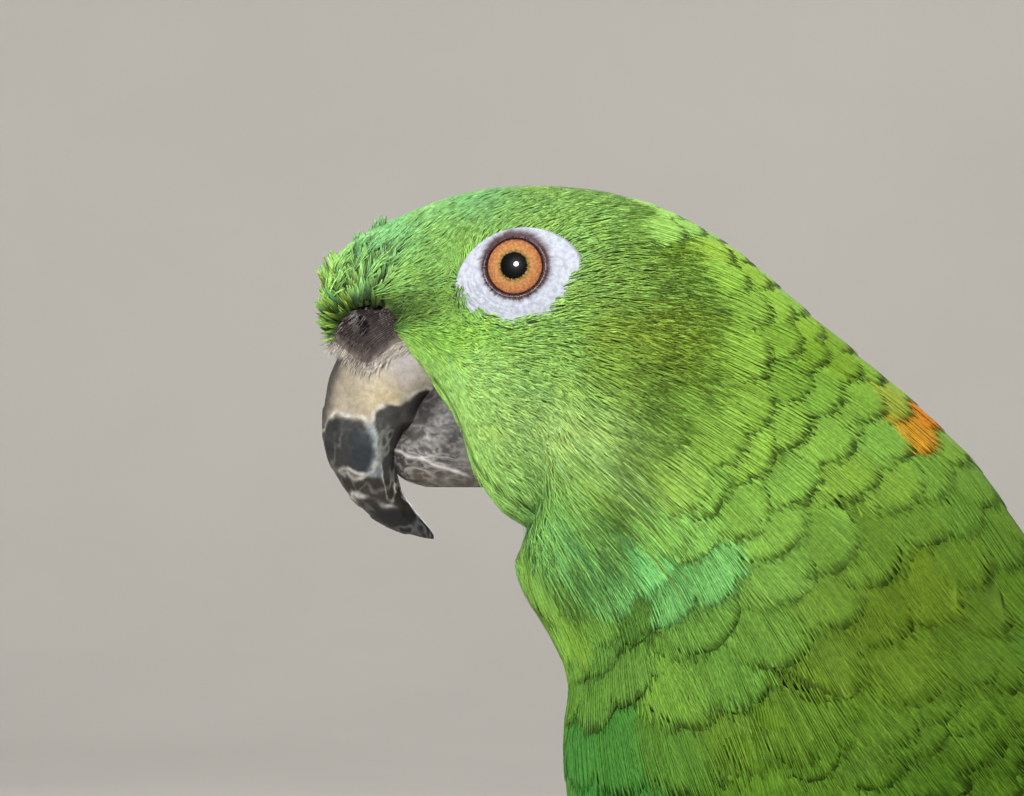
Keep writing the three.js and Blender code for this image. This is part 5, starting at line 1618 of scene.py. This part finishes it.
def make_eye_skin(settings):
    shape = spline(np.array(LID_PROFILE), np.linspace(0, len(LID_PROFILE) - 1, 64))
    for name, side in SIDES.items():
        turn, share = mesh_of(around(0, 2 * math.pi, 190), shape[:, 0])
        height = np.repeat(shape[None, :, 1], len(turn), 0)
        _, x, y = lid_places(side, turn, share, height)
        flat = np.stack([x, y, 0 * x], -1)
        open_skin = smooth(0.2, 0.4, share) * smooth(1.15, 1.0, share)
        low_front = 0.12 + 0.88 * smooth(1, -5, y) * smooth(4, -7, x)
        rings = np.sin(2 * math.pi * (share * 6.5 + 1.7 * rough_noise(flat, 3.6, 21, 3)))
        folds = (rings * 0.07 + rough_noise(flat, 1.1, 22, 3) * 0.12) * open_skin * low_front * settings.folds
        beads = 0.04 * np.cos(turn * 62 + 3 * rough_noise(flat, 2.0, 27, 2))
        beads = beads * smooth(0.02, 0.08, share) * smooth(0.2, 0.12, share)
        places, _, _ = lid_places(side, turn, share, height + folds + beads)
        count = places.shape[1]
        faces = grid_faces(len(turn) + 1, count, True) % (len(turn) * count)
        piece = new_piece(f"eye_skin_{name}", places.reshape(-1, 3), [faces], bpy.data.materials["Eye skin"])
        from_rim = np.hypot(x, y) - IRIS_RADIUS
        ragged = 0.55 * rough_noise(np.stack([turn * 16, from_rim * 0.5], -1), 1.0, 25, 3)
        wide = 0.95 + 0.25 * np.cos(turn - 0.9)
        add_values(piece, "Rim", smooth(2.7, 0.1, (from_rim + ragged) / wide).ravel())
        # Fold carries the depth of the creases, for the painted shade in them.
        add_values(piece, "Fold", (0.7 * rings * open_skin * low_front).ravel())
        face_outwards(piece)
        finish_piece(piece, "bare_skin", f"bare_skin_{name}")


# ---- claws ----
CLAW_REACH = 12.5 * 0.86
CLAW_BEND = 1.35                  # how far a claw turns down from its root to its tip, in radians


def make_claws():
    for name, side in SIDES.items():
        for toe in TOES:
            along, across = toe_axes(side, toe)
            share = np.linspace(0, 1, 28)
            start = standing(FOOT_MIDDLE, side * FOOT_OUT, 0) + along * (TOE_REACH[toe] - 0.4)
            centre = start + np.outer(CLAW_REACH * np.sin(share * CLAW_BEND), along)
            centre[:, 2] = 3.5 + 1.6 * np.sin(math.pi * share * 0.85) - 3.7 * share**1.6
            radius = 2.0 * (1 - share) + 0.22
            turn = around(0, 2 * math.pi, 20)
            height = radius[:, None] * np.cos(turn)
            rings = centre[:, None] + (0.8 * radius[:, None] * np.sin(turn))[..., None] * across
            rings = rings + (height * np.sin(share * 1.2)[:, None])[..., None] * along
            rings[..., 2] = np.maximum(rings[..., 2] + height * np.cos(share * 1.2)[:, None], 0.3)
            piece = loft_piece(f"claw_horn_{toe}_{name}", rings, bpy.data.materials["Claw horn"])
            face_outwards(piece)
            finish_piece(piece, "claw", f"claw_{toe}_{name}")


# ---- small repeated forms, by Geometry Nodes ----
def path_tree(name, form):
    """Node tree that sets one small form after another along a path, realised as one mesh."""
    tree = bpy.data.node_groups.new(name, "GeometryNodeTree")
    tree.interface.new_socket("Path", in_out="INPUT", socket_type="NodeSocketGeometry")
    for label, kind, value in (
        ("Count", "NodeSocketInt", 60), ("Length", "NodeSocketFloat", 0.001),
        ("Width", "NodeSocketFloat", 0.001), ("Height", "NodeSocketFloat", 0.001),
        ("Turn", "NodeSocketFloat", 0.0), ("Variation", "NodeSocketFloat", 0.2), ("Seed", "NodeSocketInt", 1),
    ):
        tree.interface.new_socket(label, in_out="INPUT", socket_type=kind).default_value = value
    tree.interface.new_socket("Material", in_out="INPUT", socket_type="NodeSocketMaterial")
    tree.interface.new_socket("Mesh", in_out="OUTPUT", socket_type="NodeSocketGeometry")
    given = node(tree, "NodeGroupInput")
    curve = node(tree, "GeometryNodeMeshToCurve", {"Mesh": given["Path"]})[0]
    spaced = node(tree, "GeometryNodeResampleCurve", {"Curve": curve, "Count": given["Count"]})[0]
    if form == "bristle":
        shape = node(tree, "GeometryNodeMeshCone", {"Vertices": 5, 3: 0.0, 4: 0.5, "Depth": 1.0})[0]
    else:
        shape = node(tree, "GeometryNodeMeshIcoSphere", {"Radius": 0.5, "Subdivisions": 2})[0]
    facing = node(tree, "GeometryNodeInputNamedAttribute", {"Name": "Facing"}, data_type="FLOAT_VECTOR")[0]
    tangent = node(tree, "GeometryNodeInputTangent")[0]
    upright = node(tree, "FunctionNodeAlignRotationToVector", {"Vector": facing}, axis="Z")[0]
    lie = {"Rotation": upright, "Vector": tangent}
    lie = node(tree, "FunctionNodeAlignRotationToVector", lie, axis="X", pivot_axis="Z")[0]
    low = node(tree, "ShaderNodeMath", (1.0, given["Variation"]), operation="SUBTRACT")[0]
    high = node(tree, "ShaderNodeMath", (1.0, given["Variation"]), operation="ADD")[0]
    size = {2: low, 3: high, "Seed": given["Seed"]}
    size = node(tree, "FunctionNodeRandomValue", size, data_type="FLOAT")[1]
    back = node(tree, "ShaderNodeMath", (given["Turn"], -1.0), operation="MULTIPLY")[0]
    swing = {2: back, 3: given["Turn"], "Seed": given["Seed"]}
    swing = node(tree, "FunctionNodeRandomValue", swing, data_type="FLOAT")[1]
    swing = node(tree, "ShaderNodeCombineXYZ", {"X": swing, "Z": swing})[0]
    turned = node(tree, "FunctionNodeRotateRotation", (lie, swing), rotation_space="LOCAL")[0]
    box = node(tree, "ShaderNodeCombineXYZ", (given["Length"], given["Width"], given["Height"]))[0]
    scale = node(tree, "ShaderNodeVectorMath", {0: box, "Scale": size}, operation="SCALE")[0]
    placed = {"Points": spaced, "Instance": shape, "Rotation": turned, "Scale": scale}
    placed = node(tree, "GeometryNodeInstanceOnPoints", placed)[0]
    solid = node(tree, "GeometryNodeRealizeInstances", (placed,))[0]
    coated = node(tree, "GeometryNodeSetMaterial", {"Geometry": solid, "Material": given["Material"]})[0]
    node(tree, "NodeGroupOutput", (coated,))
    return tree


def path_pieces(name, tree, paths, slot, material, **inputs):
    """One mesh of small forms set along open paths, each given as its points and the ways they face."""
    points = np.concatenate([path for path, _ in paths])
    facing = np.concatenate([ways for _, ways in paths])
    mesh = bpy.data.meshes.new(name)
    edges, first = [], 0
    for path, _ in paths:
        edges += [(first + i, first + i + 1) for i in range(len(path) - 1)]
        first += len(path)
    mesh.from_pydata([tuple(place * MM) for place in points], edges, [])
    layer = mesh.attributes.new(name="Facing", type="FLOAT_VECTOR", domain="POINT")
    layer.data.foreach_set("vector", facing.astype(np.float32).ravel())
    piece = bpy.data.objects.new(name, mesh)
    bpy.context.scene.collection.objects.link(piece)
    modifier = piece.modifiers.new(name, "NODES")
    modifier.node_group = tree
    inputs["Material"] = bpy.data.materials[material]
    for item in tree.interface.items_tree:
        if item.in_out == "INPUT" and item.name in inputs:
            modifier[item.identifier] = inputs[item.name]
    plain_mesh(piece)
    finish_piece(piece, slot)


def make_lid_beads(settings):
    """Tiny beads of skin along the lids' edge."""
    tree = path_tree("Beads along a path", "bead")
    turn = np.linspace(0, 2 * math.pi, 121)
    for name, side in SIDES.items():
        paths = []
        for share, height in ((0.045, -1.22), (0.13, -1.16)):
            places, _, _ = lid_places(side, turn, np.full(len(turn), share), height)
            paths.append((places, np.repeat(eye_axes(side)[1][2][None], len(turn), 0)))
        path_pieces(f"lid_beads_{name}", tree, paths, "bare_skin", "Lid edge", Count=settings.beads,
                    Length=0.36 * MM, Width=0.34 * MM, Height=0.24 * MM, Variation=0.5, Seed=5)


def bristle_path(along, turn):
    """Places over the cere's surface, and the ways that bristles lie there: down it, a little raised."""
    margin = 0.7 + cere_swelling(upper_bill(along, turn, 0.9))
    place = upper_bill(along, turn, margin)
    out = unit(upper_bill(along, turn, margin + 2.0) - place)
    return place, unit(0.14 * out + unit(upper_bill(along + 0.01, turn, margin) - place))


def make_cere_bristles(settings):
    """Short fine bristles that lie over the cere and fringe its lower edge."""
    tree = path_tree("Bristles along a path", "bristle")
    down = np.linspace(0, 0.5, 400)
    paths = {"pale": [], "dark": []}
    for side in SIDES.values():
        turns = side * np.linspace(0.02, 2.7, 110)
        for row in np.linspace(0.0, 0.34, 27):
            along = row + 0.009 * np.sin(6 * turns + 70 * row)
            kept = over_cere_line(upper_bill(along, turns, 0.9)) > 1.6
            if np.count_nonzero(kept) > 2:
                paths["dark"].append(bristle_path(along[kept], turns[kept]))
        for height in (0.1, 0.7, 1.4):
            found = []
            for turn in turns:
                above = over_cere_line(upper_bill(down, np.full(len(down), turn), 0.9)) > height
                crossings = np.flatnonzero(above[:-1] & ~above[1:])
                found += [(down[first], turn) for first in crossings[:1]]
            paths["pale"].append(bristle_path(*np.array(found).T))
    for name, count, length in (("pale", settings.bristles, 1.7), ("dark", settings.bristles // 2, 2.4)):
        path_pieces(f"cere_bristles_{name}", tree, paths[name], "cere_skin", f"{name.capitalize()} bristle",
                    Count=count, Length=0.12 * MM, Width=0.12 * MM, Height=length * MM,
                    Variation=0.6, Turn=0.7, Seed=11)


def make_foot_scales(settings):
    """Scutes over the tops of the toes and the fronts of the tarsi."""
    tree = path_tree("Scutes along a path", "scute")
    for name, side in SIDES.items():
        paths = []
        for toe in TOES:
            along, across = toe_axes(side, toe)
            share = np.linspace(0.05, 0.98, 24)
            radius = toe_thickness(toe, share)
            distance = TOE_START + (TOE_REACH[toe] - TOE_START) * share
            centre = standing(FOOT_MIDDLE, side * FOOT_OUT, 0) + np.outer(distance, along)
            for lean in (-0.95, 0.0, 0.95):
                way = math.sin(lean) * across + np.array([0, 0, math.cos(lean)])
                place = centre + np.outer(radius * 0.97, way)
                place[:, 2] += radius * 0.86
                paths.append((place, np.repeat(way[None], len(share), 0)))
        share = np.linspace(0.08, 0.98, 20)
        rows = np.array(TARSUS_ROWS)[::-1]
        radius = np.interp(share, rows[:, 0], rows[:, 1])
        sole = standing(FOOT_MIDDLE, FOOT_OUT, 0)
        centre = (sole + (standing(*ANKLE_PLACE) - sole) * share[:, None]) * (1, side, 1)
        for turn in np.radians(np.arange(0, 360, 36)):
            way = np.array([math.cos(turn), math.sin(turn), 0])
            place = centre + np.outer(radius * (1.0 + 0.05 * abs(math.cos(turn))), way)
            paths.append((place, np.repeat(way[None], len(share), 0)))
        path_pieces(f"foot_scutes_{name}", tree, paths, "foot_skin", "Foot scutes", Count=settings.scutes,
                    Length=1.9 * MM, Width=3.0 * MM, Height=0.7 * MM, Variation=0.15, Seed=3)


# ---- the other materials ----
def skin_material():
    """Skin and down under the feathers, matt and soft, in the coat's colours; bare grey skin on the feet."""
    tree = start_material("Skin and down")
    place = node(tree, "ShaderNodeTexCoord")["Object"]
    down = node(tree, "ShaderNodeTexNoise", grain(place, 1.2, 5.0))[0]
    down = node(tree, "ShaderNodeMapRange", (down, 0.3, 0.7, 0.66, 0.98), **SMOOTHLY)[0]
    pebbles = {"Vector": place, "Scale": 1 / (1.1 * MM)}
    pebbles = node(tree, "ShaderNodeTexVoronoi", pebbles, feature="DISTANCE_TO_EDGE")[0]
    pebbles = node(tree, "ShaderNodeMapRange", (pebbles, 0.0, 0.16, 0.55, 1.05), **SMOOTHLY)[0]
    bare = node(tree, "ShaderNodeAttribute", attribute_name="Bare")["Fac"]
    shade = node(tree, "ShaderNodeMix", {0: bare, 2: down, 3: pebbles}, data_type="FLOAT")[0]
    gloss = node(tree, "ShaderNodeMapRange", (shade, 0.4, 1.0, 0.9, 0.7), **SMOOTHLY)[0]
    colour = painted(tree, "Plumage", shade)
    end_material(tree, {"Base Color": colour, "Roughness": gloss, "IOR": 1.4}, shade, 0.3)


def mottled_material(name, dark, light, size_mm, rough, relief_mm, ior):
    """Material mottled between two colours, with a fine uneven surface."""
    tree = start_material(name)
    place = node(tree, "ShaderNodeTexCoord")["Object"]
    mottle = node(tree, "ShaderNodeTexNoise", grain(place, size_mm, 5.0))[0]
    share = node(tree, "ShaderNodeMapRange", (mottle, 0.3, 0.7, 0.0, 1.0), **SMOOTHLY)[0]
    colour = node(tree, "ShaderNodeMix", {0: share, 6: opaque(dark), 7: opaque(light)}, **MIXED)[2]
    gloss = node(tree, "ShaderNodeMapRange", (mottle, 0.2, 0.8, rough * 0.85, rough * 1.15), **SMOOTHLY)[0]
    fine = node(tree, "ShaderNodeTexNoise", grain(place, size_mm * 0.4, 4.0))[0]
    end_material(tree, {"Base Color": colour, "Roughness": gloss, "IOR": ior}, fine, relief_mm, 0.7)


def eye_material():
    """Wet eye: black pupil, a khaki ring, an orange iris flecked with red, and a dark edge, all under
    the smooth clear cornea."""
    tree = start_material("Eye")
    flat = node(tree, "ShaderNodeUVMap", uv_map="Iris")[0]
    centred = node(tree, "ShaderNodeVectorMath", (flat, (0.5, 0.5, 0.0)), operation="SUBTRACT")[0]
    distance = node(tree, "ShaderNodeVectorMath", (centred,), operation="LENGTH")["Value"]
    radius = node(tree, "ShaderNodeMath", (distance, IRIS_MAP_MM), operation="MULTIPLY")[0]
    direction = node(tree, "ShaderNodeVectorMath", (centred,), operation="NORMALIZE")[0]
    streaks = node(tree, "ShaderNodeTexNoise", {"Vector": direction, "Scale": 9.0, "Detail": 4.0})[0]
    streaks = node(tree, "ShaderNodeMath", (streaks, 0.5), operation="SUBTRACT")[0]
    wavy = node(tree, "ShaderNodeMath", (streaks, 0.7, radius), operation="MULTIPLY_ADD")[0]
    flecks = node(tree, "ShaderNodeTexNoise", {"Vector": flat, "Scale": 42.0, "Detail": 5.0})[0]
    flecks = node(tree, "ShaderNodeMapRange", (flecks, 0.42, 0.62, 0.0, 1.0), **SMOOTHLY)[0]
    flecks = node(tree, "ShaderNodeMath", (flecks, 0.55), operation="MULTIPLY")[0]
    colour = opaque("#50471F")
    for value, low, high, shade in (
        (wavy, 2.55, 3.15, "#855A34"),
        (wavy, 3.3, 4.7, "#7A482E"),
        (flecks, None, None, "#A0734B"),
        (radius, IRIS_RADIUS - 0.4, IRIS_RADIUS - 0.05, "#140A08"),
        (wavy, PUPIL_RADIUS + 0.1, PUPIL_RADIUS - 0.1, "#020202"),
    ):
        if low is not None:
            value = node(tree, "ShaderNodeMapRange", (value, low, high, 0.0, 1.0), **SMOOTHLY)[0]
        colour = node(tree, "ShaderNodeMix", {0: value, 6: colour, 7: opaque(shade)}, **MIXED)[2]
    gloss = node(tree, "ShaderNodeMapRange", (flecks, 0.0, 1.0, 0.32, 0.38), **SMOOTHLY)[0]
    end_material(tree, {
        "Base Color": colour, "Roughness": gloss, "IOR": 1.376, "Specular IOR Level": 0.04,
        "Coat Weight": 0.18, "Coat Roughness": 0.02,
    })


def eye_skin_material():
    """Bare skin round the eye: whitish, finely creased, with painted shade in the creases and a dark maroon
    margin next to the eye.
    """
    tree = start_material("Eye skin")
    place = node(tree, "ShaderNodeTexCoord")["Object"]
    rim = node(tree, "ShaderNodeAttribute", attribute_name="Rim")["Fac"]
    fold = node(tree, "ShaderNodeAttribute", attribute_name="Fold")["Fac"]
    mottle = node(tree, "ShaderNodeTexNoise", grain(place, 0.8, 5.0))[0]
    share = node(tree, "ShaderNodeMapRange", (mottle, 0.3, 0.7, 0.0, 1.0), **SMOOTHLY)[0]
    pale = node(tree, "ShaderNodeMix", {0: share, 6: opaque("#7F818B"), 7: opaque("#9A9DA6")}, **MIXED)[2]
    # Painted shade in the creases of the skin.
    crease_shade = node(tree, "ShaderNodeMapRange", (fold, 0.0, -0.8, 0.0, 0.85), **SMOOTHLY)[0]
    pale = node(tree, "ShaderNodeMix", {0: crease_shade, 6: pale, 7: opaque("#6A6872")}, **MIXED)[2]
    dark = node(tree, "ShaderNodeMix", {0: mottle, 6: opaque("#1A1214"), 7: opaque("#4A3034")}, **MIXED)[2]
    uneven = node(tree, "ShaderNodeMath", (mottle, 0.5), operation="SUBTRACT")[0]
    uneven = node(tree, "ShaderNodeMath", (uneven, 0.5, rim), operation="MULTIPLY_ADD")[0]
    uneven = node(tree, "ShaderNodeMapRange", (uneven, 0.1, 0.9, 0.0, 1.0), **SMOOTHLY)[0]
    colour = node(tree, "ShaderNodeMix", {0: uneven, 6: pale, 7: dark}, **MIXED)[2]
    gloss = node(tree, "ShaderNodeMapRange", (rim, 0.2, 1.0, 0.6, 0.32), **SMOOTHLY)[0]
    fine = node(tree, "ShaderNodeTexNoise", grain(place, 0.35, 4.0))[0]
    end_material(tree, {
        "Base Color": colour, "Roughness": gloss, "IOR": 1.4, "Subsurface Weight": 0.05
    }, fine, 0.12, 0.7)


def horn_material(name, size_mm, rough, ior):
    """Worn horn or bare skin whose colours are painted on the piece: fine layers catch the light."""
    tree = start_material(name)
    place = node(tree, "ShaderNodeTexCoord")["Object"]
    fine = node(tree, "ShaderNodeTexNoise", grain(place, size_mm, 6.0, 0.7))[0]
    shade = node(tree, "ShaderNodeMapRange", (fine, 0.3, 0.7, 0.82, 1.18), **SMOOTHLY)[0]
    gloss = node(tree, "ShaderNodeMapRange", (fine, 0.3, 0.7, rough + 0.08, rough - 0.08), **SMOOTHLY)[0]
    end_material(tree, {
        "Base Color": painted(tree, "Horn", shade), "Roughness": gloss, "IOR": ior, "Specular IOR Level": 0.16
    }, fine, 0.10)


def make_materials():
    vane_material("Contour vanes", BARB_SPACING, 0.55)
    vane_material("Covert vanes", BARB_SPACING, 0.5)
    vane_material("Flight vanes", FLIGHT_BARB_SPACING, 0.42)
    barb_material()
    skin_material()
    eye_material()
    eye_skin_material()
    horn_material("Bill horn", 0.9, 0.42, KERATIN_IOR)
    horn_material("Cere skin", 0.6, 0.62, 1.45)
    # Dark polished horn; the wet dark edge of the lids; bristles; dry scaly skin; matt painted floor.
    for row in (
        ("Claw horn", "#151415", "#3B3838", 1.5, 0.32, 0.05, KERATIN_IOR),
        ("Lid edge", "#150E10", "#3E262A", 0.8, 0.25, 0.04, 1.4),
        ("Pale bristle", "#857D75", "#B3ABA1", 1.0, 0.5, 0.02, KERATIN_IOR),
        ("Dark bristle", "#1C1615", "#554B46", 1.0, 0.5, 0.02, KERATIN_IOR),
        ("Foot scutes", "#5F5E62", "#A3A1A0", 1.4, 0.55, 0.08, 1.5),
        ("Studio floor", "#BDBAB4", "#C2BFB9", 400.0, 0.9, 0.2, 1.45),
    ):
        mottled_material(*row)


# ---- stage ----
CAMERA_BACK, CAMERA_UP = -0.78, -22.5     # mm from the eye to the middle of the view
WALL_LIGHTS = 4


def soft_light(name, place, aim, size, power_w):
    data = bpy.data.lights.new(name, "AREA")
    data.shape = "DISK"
    data.size = size
    data.energy = power_w
    lamp = bpy.data.objects.new(name, data)
    lamp.location = place
    lamp.rotation_euler = (Vector(aim) - Vector(place)).to_track_quat("-Z", "Y").to_euler()
    bpy.context.scene.collection.objects.link(lamp)


def make_backdrop():
    """Pale floor that curves up all round into a low wall, far enough out for every view."""
    radius = np.concatenate([[0.3, 0.7, 1.2], 1.9 + 1.1 * np.sin(np.linspace(0, math.pi / 2, 24)), [3.0]])
    height = np.concatenate([[0, 0, 0], 1.1 - 1.1 * np.cos(np.linspace(0, math.pi / 2, 24)), [1.9]])
    turn = around(0, 2 * math.pi, 96)
    x, y = np.outer(radius, np.cos(turn)), np.outer(radius, np.sin(turn))
    rings = np.stack([x, y, np.repeat(height[:, None], len(turn), 1)], -1) / MM
    faces = grid_faces(len(radius), len(turn), True)
    middle = len(radius) * len(turn)
    first_row = np.arange(len(turn))
    centre = np.stack([np.full(len(turn), middle), (first_row + 1) % len(turn), first_row], 1)
    points = np.concatenate([rings.reshape(-1, 3), [[0, 0, 0]]])
    backdrop = new_piece("floor", points, [faces, centre], bpy.data.materials["Studio floor"])


def make_stage(settings):
    scene = bpy.context.scene
    eye = Vector(EYE_PLACE * MM)
    camera_data = bpy.data.cameras.new("Camera")
    camera_data.lens = settings.lens
    camera = bpy.data.objects.new("Camera", camera_data)
    camera.location = (eye.x + CAMERA_BACK * MM, -settings.distance, eye.z + CAMERA_UP * MM)
    camera.rotation_euler = (math.pi / 2, 0, 0)
    camera_data.clip_end = 50
    scene.collection.objects.link(camera)
    scene.camera = camera
    make_backdrop()
    soft_light("Key light", (eye.x - 0.094, -0.44, eye.z + 0.143), eye, 0.083, settings.key)
    soft_light("Top light", (0.0, 0.12, 1.3), (0, 0, 0.1), 0.9, settings.key * 1.3)
    soft_light("Far side light", (0.3, 1.1, 0.7), (0, 0, 0.12), 0.8, settings.key * 2.6)
    for number in range(WALL_LIGHTS):
        turn = 2 * math.pi / WALL_LIGHTS * number
        way = Vector((math.cos(turn), math.sin(turn), 0))
        place, aim = way * 1.1 + Vector((0, 0, 1.7)), way * 2.9 + Vector((0, 0, 1.3))
        soft_light(f"Wall light {number + 1}", place, aim, 0.8, settings.key * 4.3)
    world = bpy.data.worlds.new("Studio")
    world.use_nodes = True
    background = world.node_tree.nodes["Background"]
    background.inputs["Color"].default_value = opaque("#E6E6E4")
    background.inputs["Strength"].default_value = settings.sky
    scene.world = world
    scene.view_settings.view_transform = "Standard"


# ---- settings, operators and panel ----
def share_property(name, description, default, high=3.0):
    return bpy.props.FloatProperty(name=name, description=description, default=default, min=0.05, max=high)


def count_property(name, description, default, least):
    return bpy.props.IntProperty(name=name, description=description, default=default, min=least)


class ParrotCoatSettings(bpy.types.PropertyGroup):
    seed: count_property("Seed", "Start of the coat's random numbers", 7, 0)
    depth: share_property("Coat depth", "Depth of the skin under the feathers' tips, as a share of life", 1.0)
    spacing: share_property("Spacing", "Distance between feathers, as a share of life", 1.0)
    barb_length: share_property("Barb length", "Length of the head's small feathers, as a share of life", 1.0)
    barb_width: share_property("Barb width", "Width of their barbs, as a share of the default", 1.0)
    vane_length: share_property("Vane length", "Length of the contour feathers, as a share of life", 1.0)
    vane_width: share_property("Vane width", "Width of the contour feathers, as a share of life", 1.0)
    voxel: share_property("Skin detail", "Size of the skin's smallest facets, in millimetres", 1.2)


class ParrotHeadSettings(bpy.types.PropertyGroup):
    wear: share_property("Bill wear", "Depth of the bill's flaking, as a share of the default", 1.0)
    folds: share_property("Eyelid folds", "Depth of the creases by the eye, as a share of the default", 1.0)
    beads: count_property("Lid beads", "Beads along each line of the lid", 64, 8)
    bristles: count_property("Bristles", "Bristles along each line of the cere", 95, 8)
    scutes: count_property("Scutes", "Scutes along each line of a toe", 11, 3)


class ParrotStageSettings(bpy.types.PropertyGroup):
    lens: bpy.props.FloatProperty(
        name="Lens", description="Focal length of the camera", default=161.6, unit="CAMERA"
    )
    distance: bpy.props.FloatProperty(
        name="Distance", description="From the bird's middle to the camera", default=0.8178,
        subtype="DISTANCE"
    )
    key: bpy.props.FloatProperty(
        name="Key light", description="Strength of the main light", default=4.6, unit="POWER"
    )
    sky: share_property("Room light", "Strength of the light from all round", 0.6)


def coat_random(settings, step):
    return np.random.default_rng(settings.seed * 100 + step)


class PARROT_OT_skin(bpy.types.Operator):
    """Make the one skin under the feathers, with thighs, tarsi and toes"""
    bl_idname = "parrot.skin"
    bl_label = "Skin"

    def execute(self, context):
        make_skin(context.scene.parrot_coat)
        return {"FINISHED"}


class PARROT_OT_head_feathers(bpy.types.Operator):
    """Make the small loose feathers of the head and the broad ones of the neck"""
    bl_idname = "parrot.head_feathers"
    bl_label = "Head and neck feathers"

    def execute(self, context):
        settings = context.scene.parrot_coat
        for step, side in enumerate(SIDES):
            face_coat(settings, side, coat_random(settings, step))
            neck_coat(settings, side, coat_random(settings, 20 + step))
        frontal_tuft(coat_random(settings, 3))
        return {"FINISHED"}


class PARROT_OT_body_feathers(bpy.types.Operator):
    """Make the feathers of the back, the breast, the wing coverts and the thighs"""
    bl_idname = "parrot.body_feathers"
    bl_label = "Body feathers"

    def execute(self, context):
        settings = context.scene.parrot_coat
        make_body_coat(settings, coat_random(settings, 4))
        make_thigh_coat(coat_random(settings, 5))
        return {"FINISHED"}


class PARROT_OT_long_feathers(bpy.types.Operator):
    """Make the folded wings' flight feathers and the tail"""
    bl_idname = "parrot.long_feathers"
    bl_label = "Flight feathers and tail"

    def execute(self, context):
        settings = context.scene.parrot_coat
        make_flight_feathers(coat_random(settings, 6))
        make_tail(coat_random(settings, 7))
        return {"FINISHED"}


class PARROT_OT_eyes(bpy.types.Operator):
    """Make the eyes, the lids and the bare skin round them"""
    bl_idname = "parrot.eyes"
    bl_label = "Eyes"

    def execute(self, context):
        settings = context.scene.parrot_head
        make_eyes()
        make_eye_skin(settings)
        make_lid_beads(settings)
        return {"FINISHED"}


class PARROT_OT_bill(bpy.types.Operator):
    """Make both mandibles, the cere and its bristles"""
    bl_idname = "parrot.bill"
    bl_label = "Bill and cere"

    def execute(self, context):
        settings = context.scene.parrot_head
        make_upper_mandible(settings)
        make_lower_mandible(settings)
        make_cere()
        make_cere_bristles(settings)
        return {"FINISHED"}


class PARROT_OT_feet(bpy.types.Operator):
    """Make the claws and the scutes of the feet"""
    bl_idname = "parrot.feet"
    bl_label = "Claws and scutes"

    def execute(self, context):
        settings = context.scene.parrot_head
        make_claws()
        make_foot_scales(settings)
        return {"FINISHED"}


class PARROT_OT_stage(bpy.types.Operator):
    """Make the floor, the lights and the camera"""
    bl_idname = "parrot.stage"
    bl_label = "Stage"

    def execute(self, context):
        make_stage(context.scene.parrot_stage)
        return {"FINISHED"}


OPERATORS = (
    PARROT_OT_skin, PARROT_OT_head_feathers, PARROT_OT_body_feathers, PARROT_OT_long_feathers,
    PARROT_OT_eyes, PARROT_OT_bill, PARROT_OT_feet, PARROT_OT_stage,
)
SETTINGS = {
    "parrot_coat": ParrotCoatSettings, "parrot_head": ParrotHeadSettings, "parrot_stage": ParrotStageSettings,
}


class PARROT_PT_panel(bpy.types.Panel):
    """Settings and steps of the parrot, in the order in which they are made"""
    bl_idname = "PARROT_PT_panel"
    bl_label = "Parrot"
    bl_space_type = "VIEW_3D"
    bl_region_type = "UI"
    bl_category = "Parrot"

    def draw(self, context):
        for name, group in SETTINGS.items():
            settings = getattr(context.scene, name)
            box = self.layout.box()
            for key in group.__annotations__:
                box.prop(settings, key)
        for operator in OPERATORS:
            self.layout.operator(operator.bl_idname)


def register():
    for group in (*SETTINGS.values(), *OPERATORS, PARROT_PT_panel):
        bpy.utils.register_class(group)
    for name, group in SETTINGS.items():
        setattr(bpy.types.Scene, name, bpy.props.PointerProperty(type=group))


def unregister():
    for name in SETTINGS:
        delattr(bpy.types.Scene, name)
    for group in reversed((*SETTINGS.values(), *OPERATORS, PARROT_PT_panel)):
        bpy.utils.unregister_class(group)


def main():
    register()
    make_materials()
    for step in ("skin", "head_feathers", "body_feathers", "long_feathers", "eyes", "bill", "feet", "stage"):
        getattr(bpy.ops.parrot, step)()


if __name__ == "__main__":
    main()
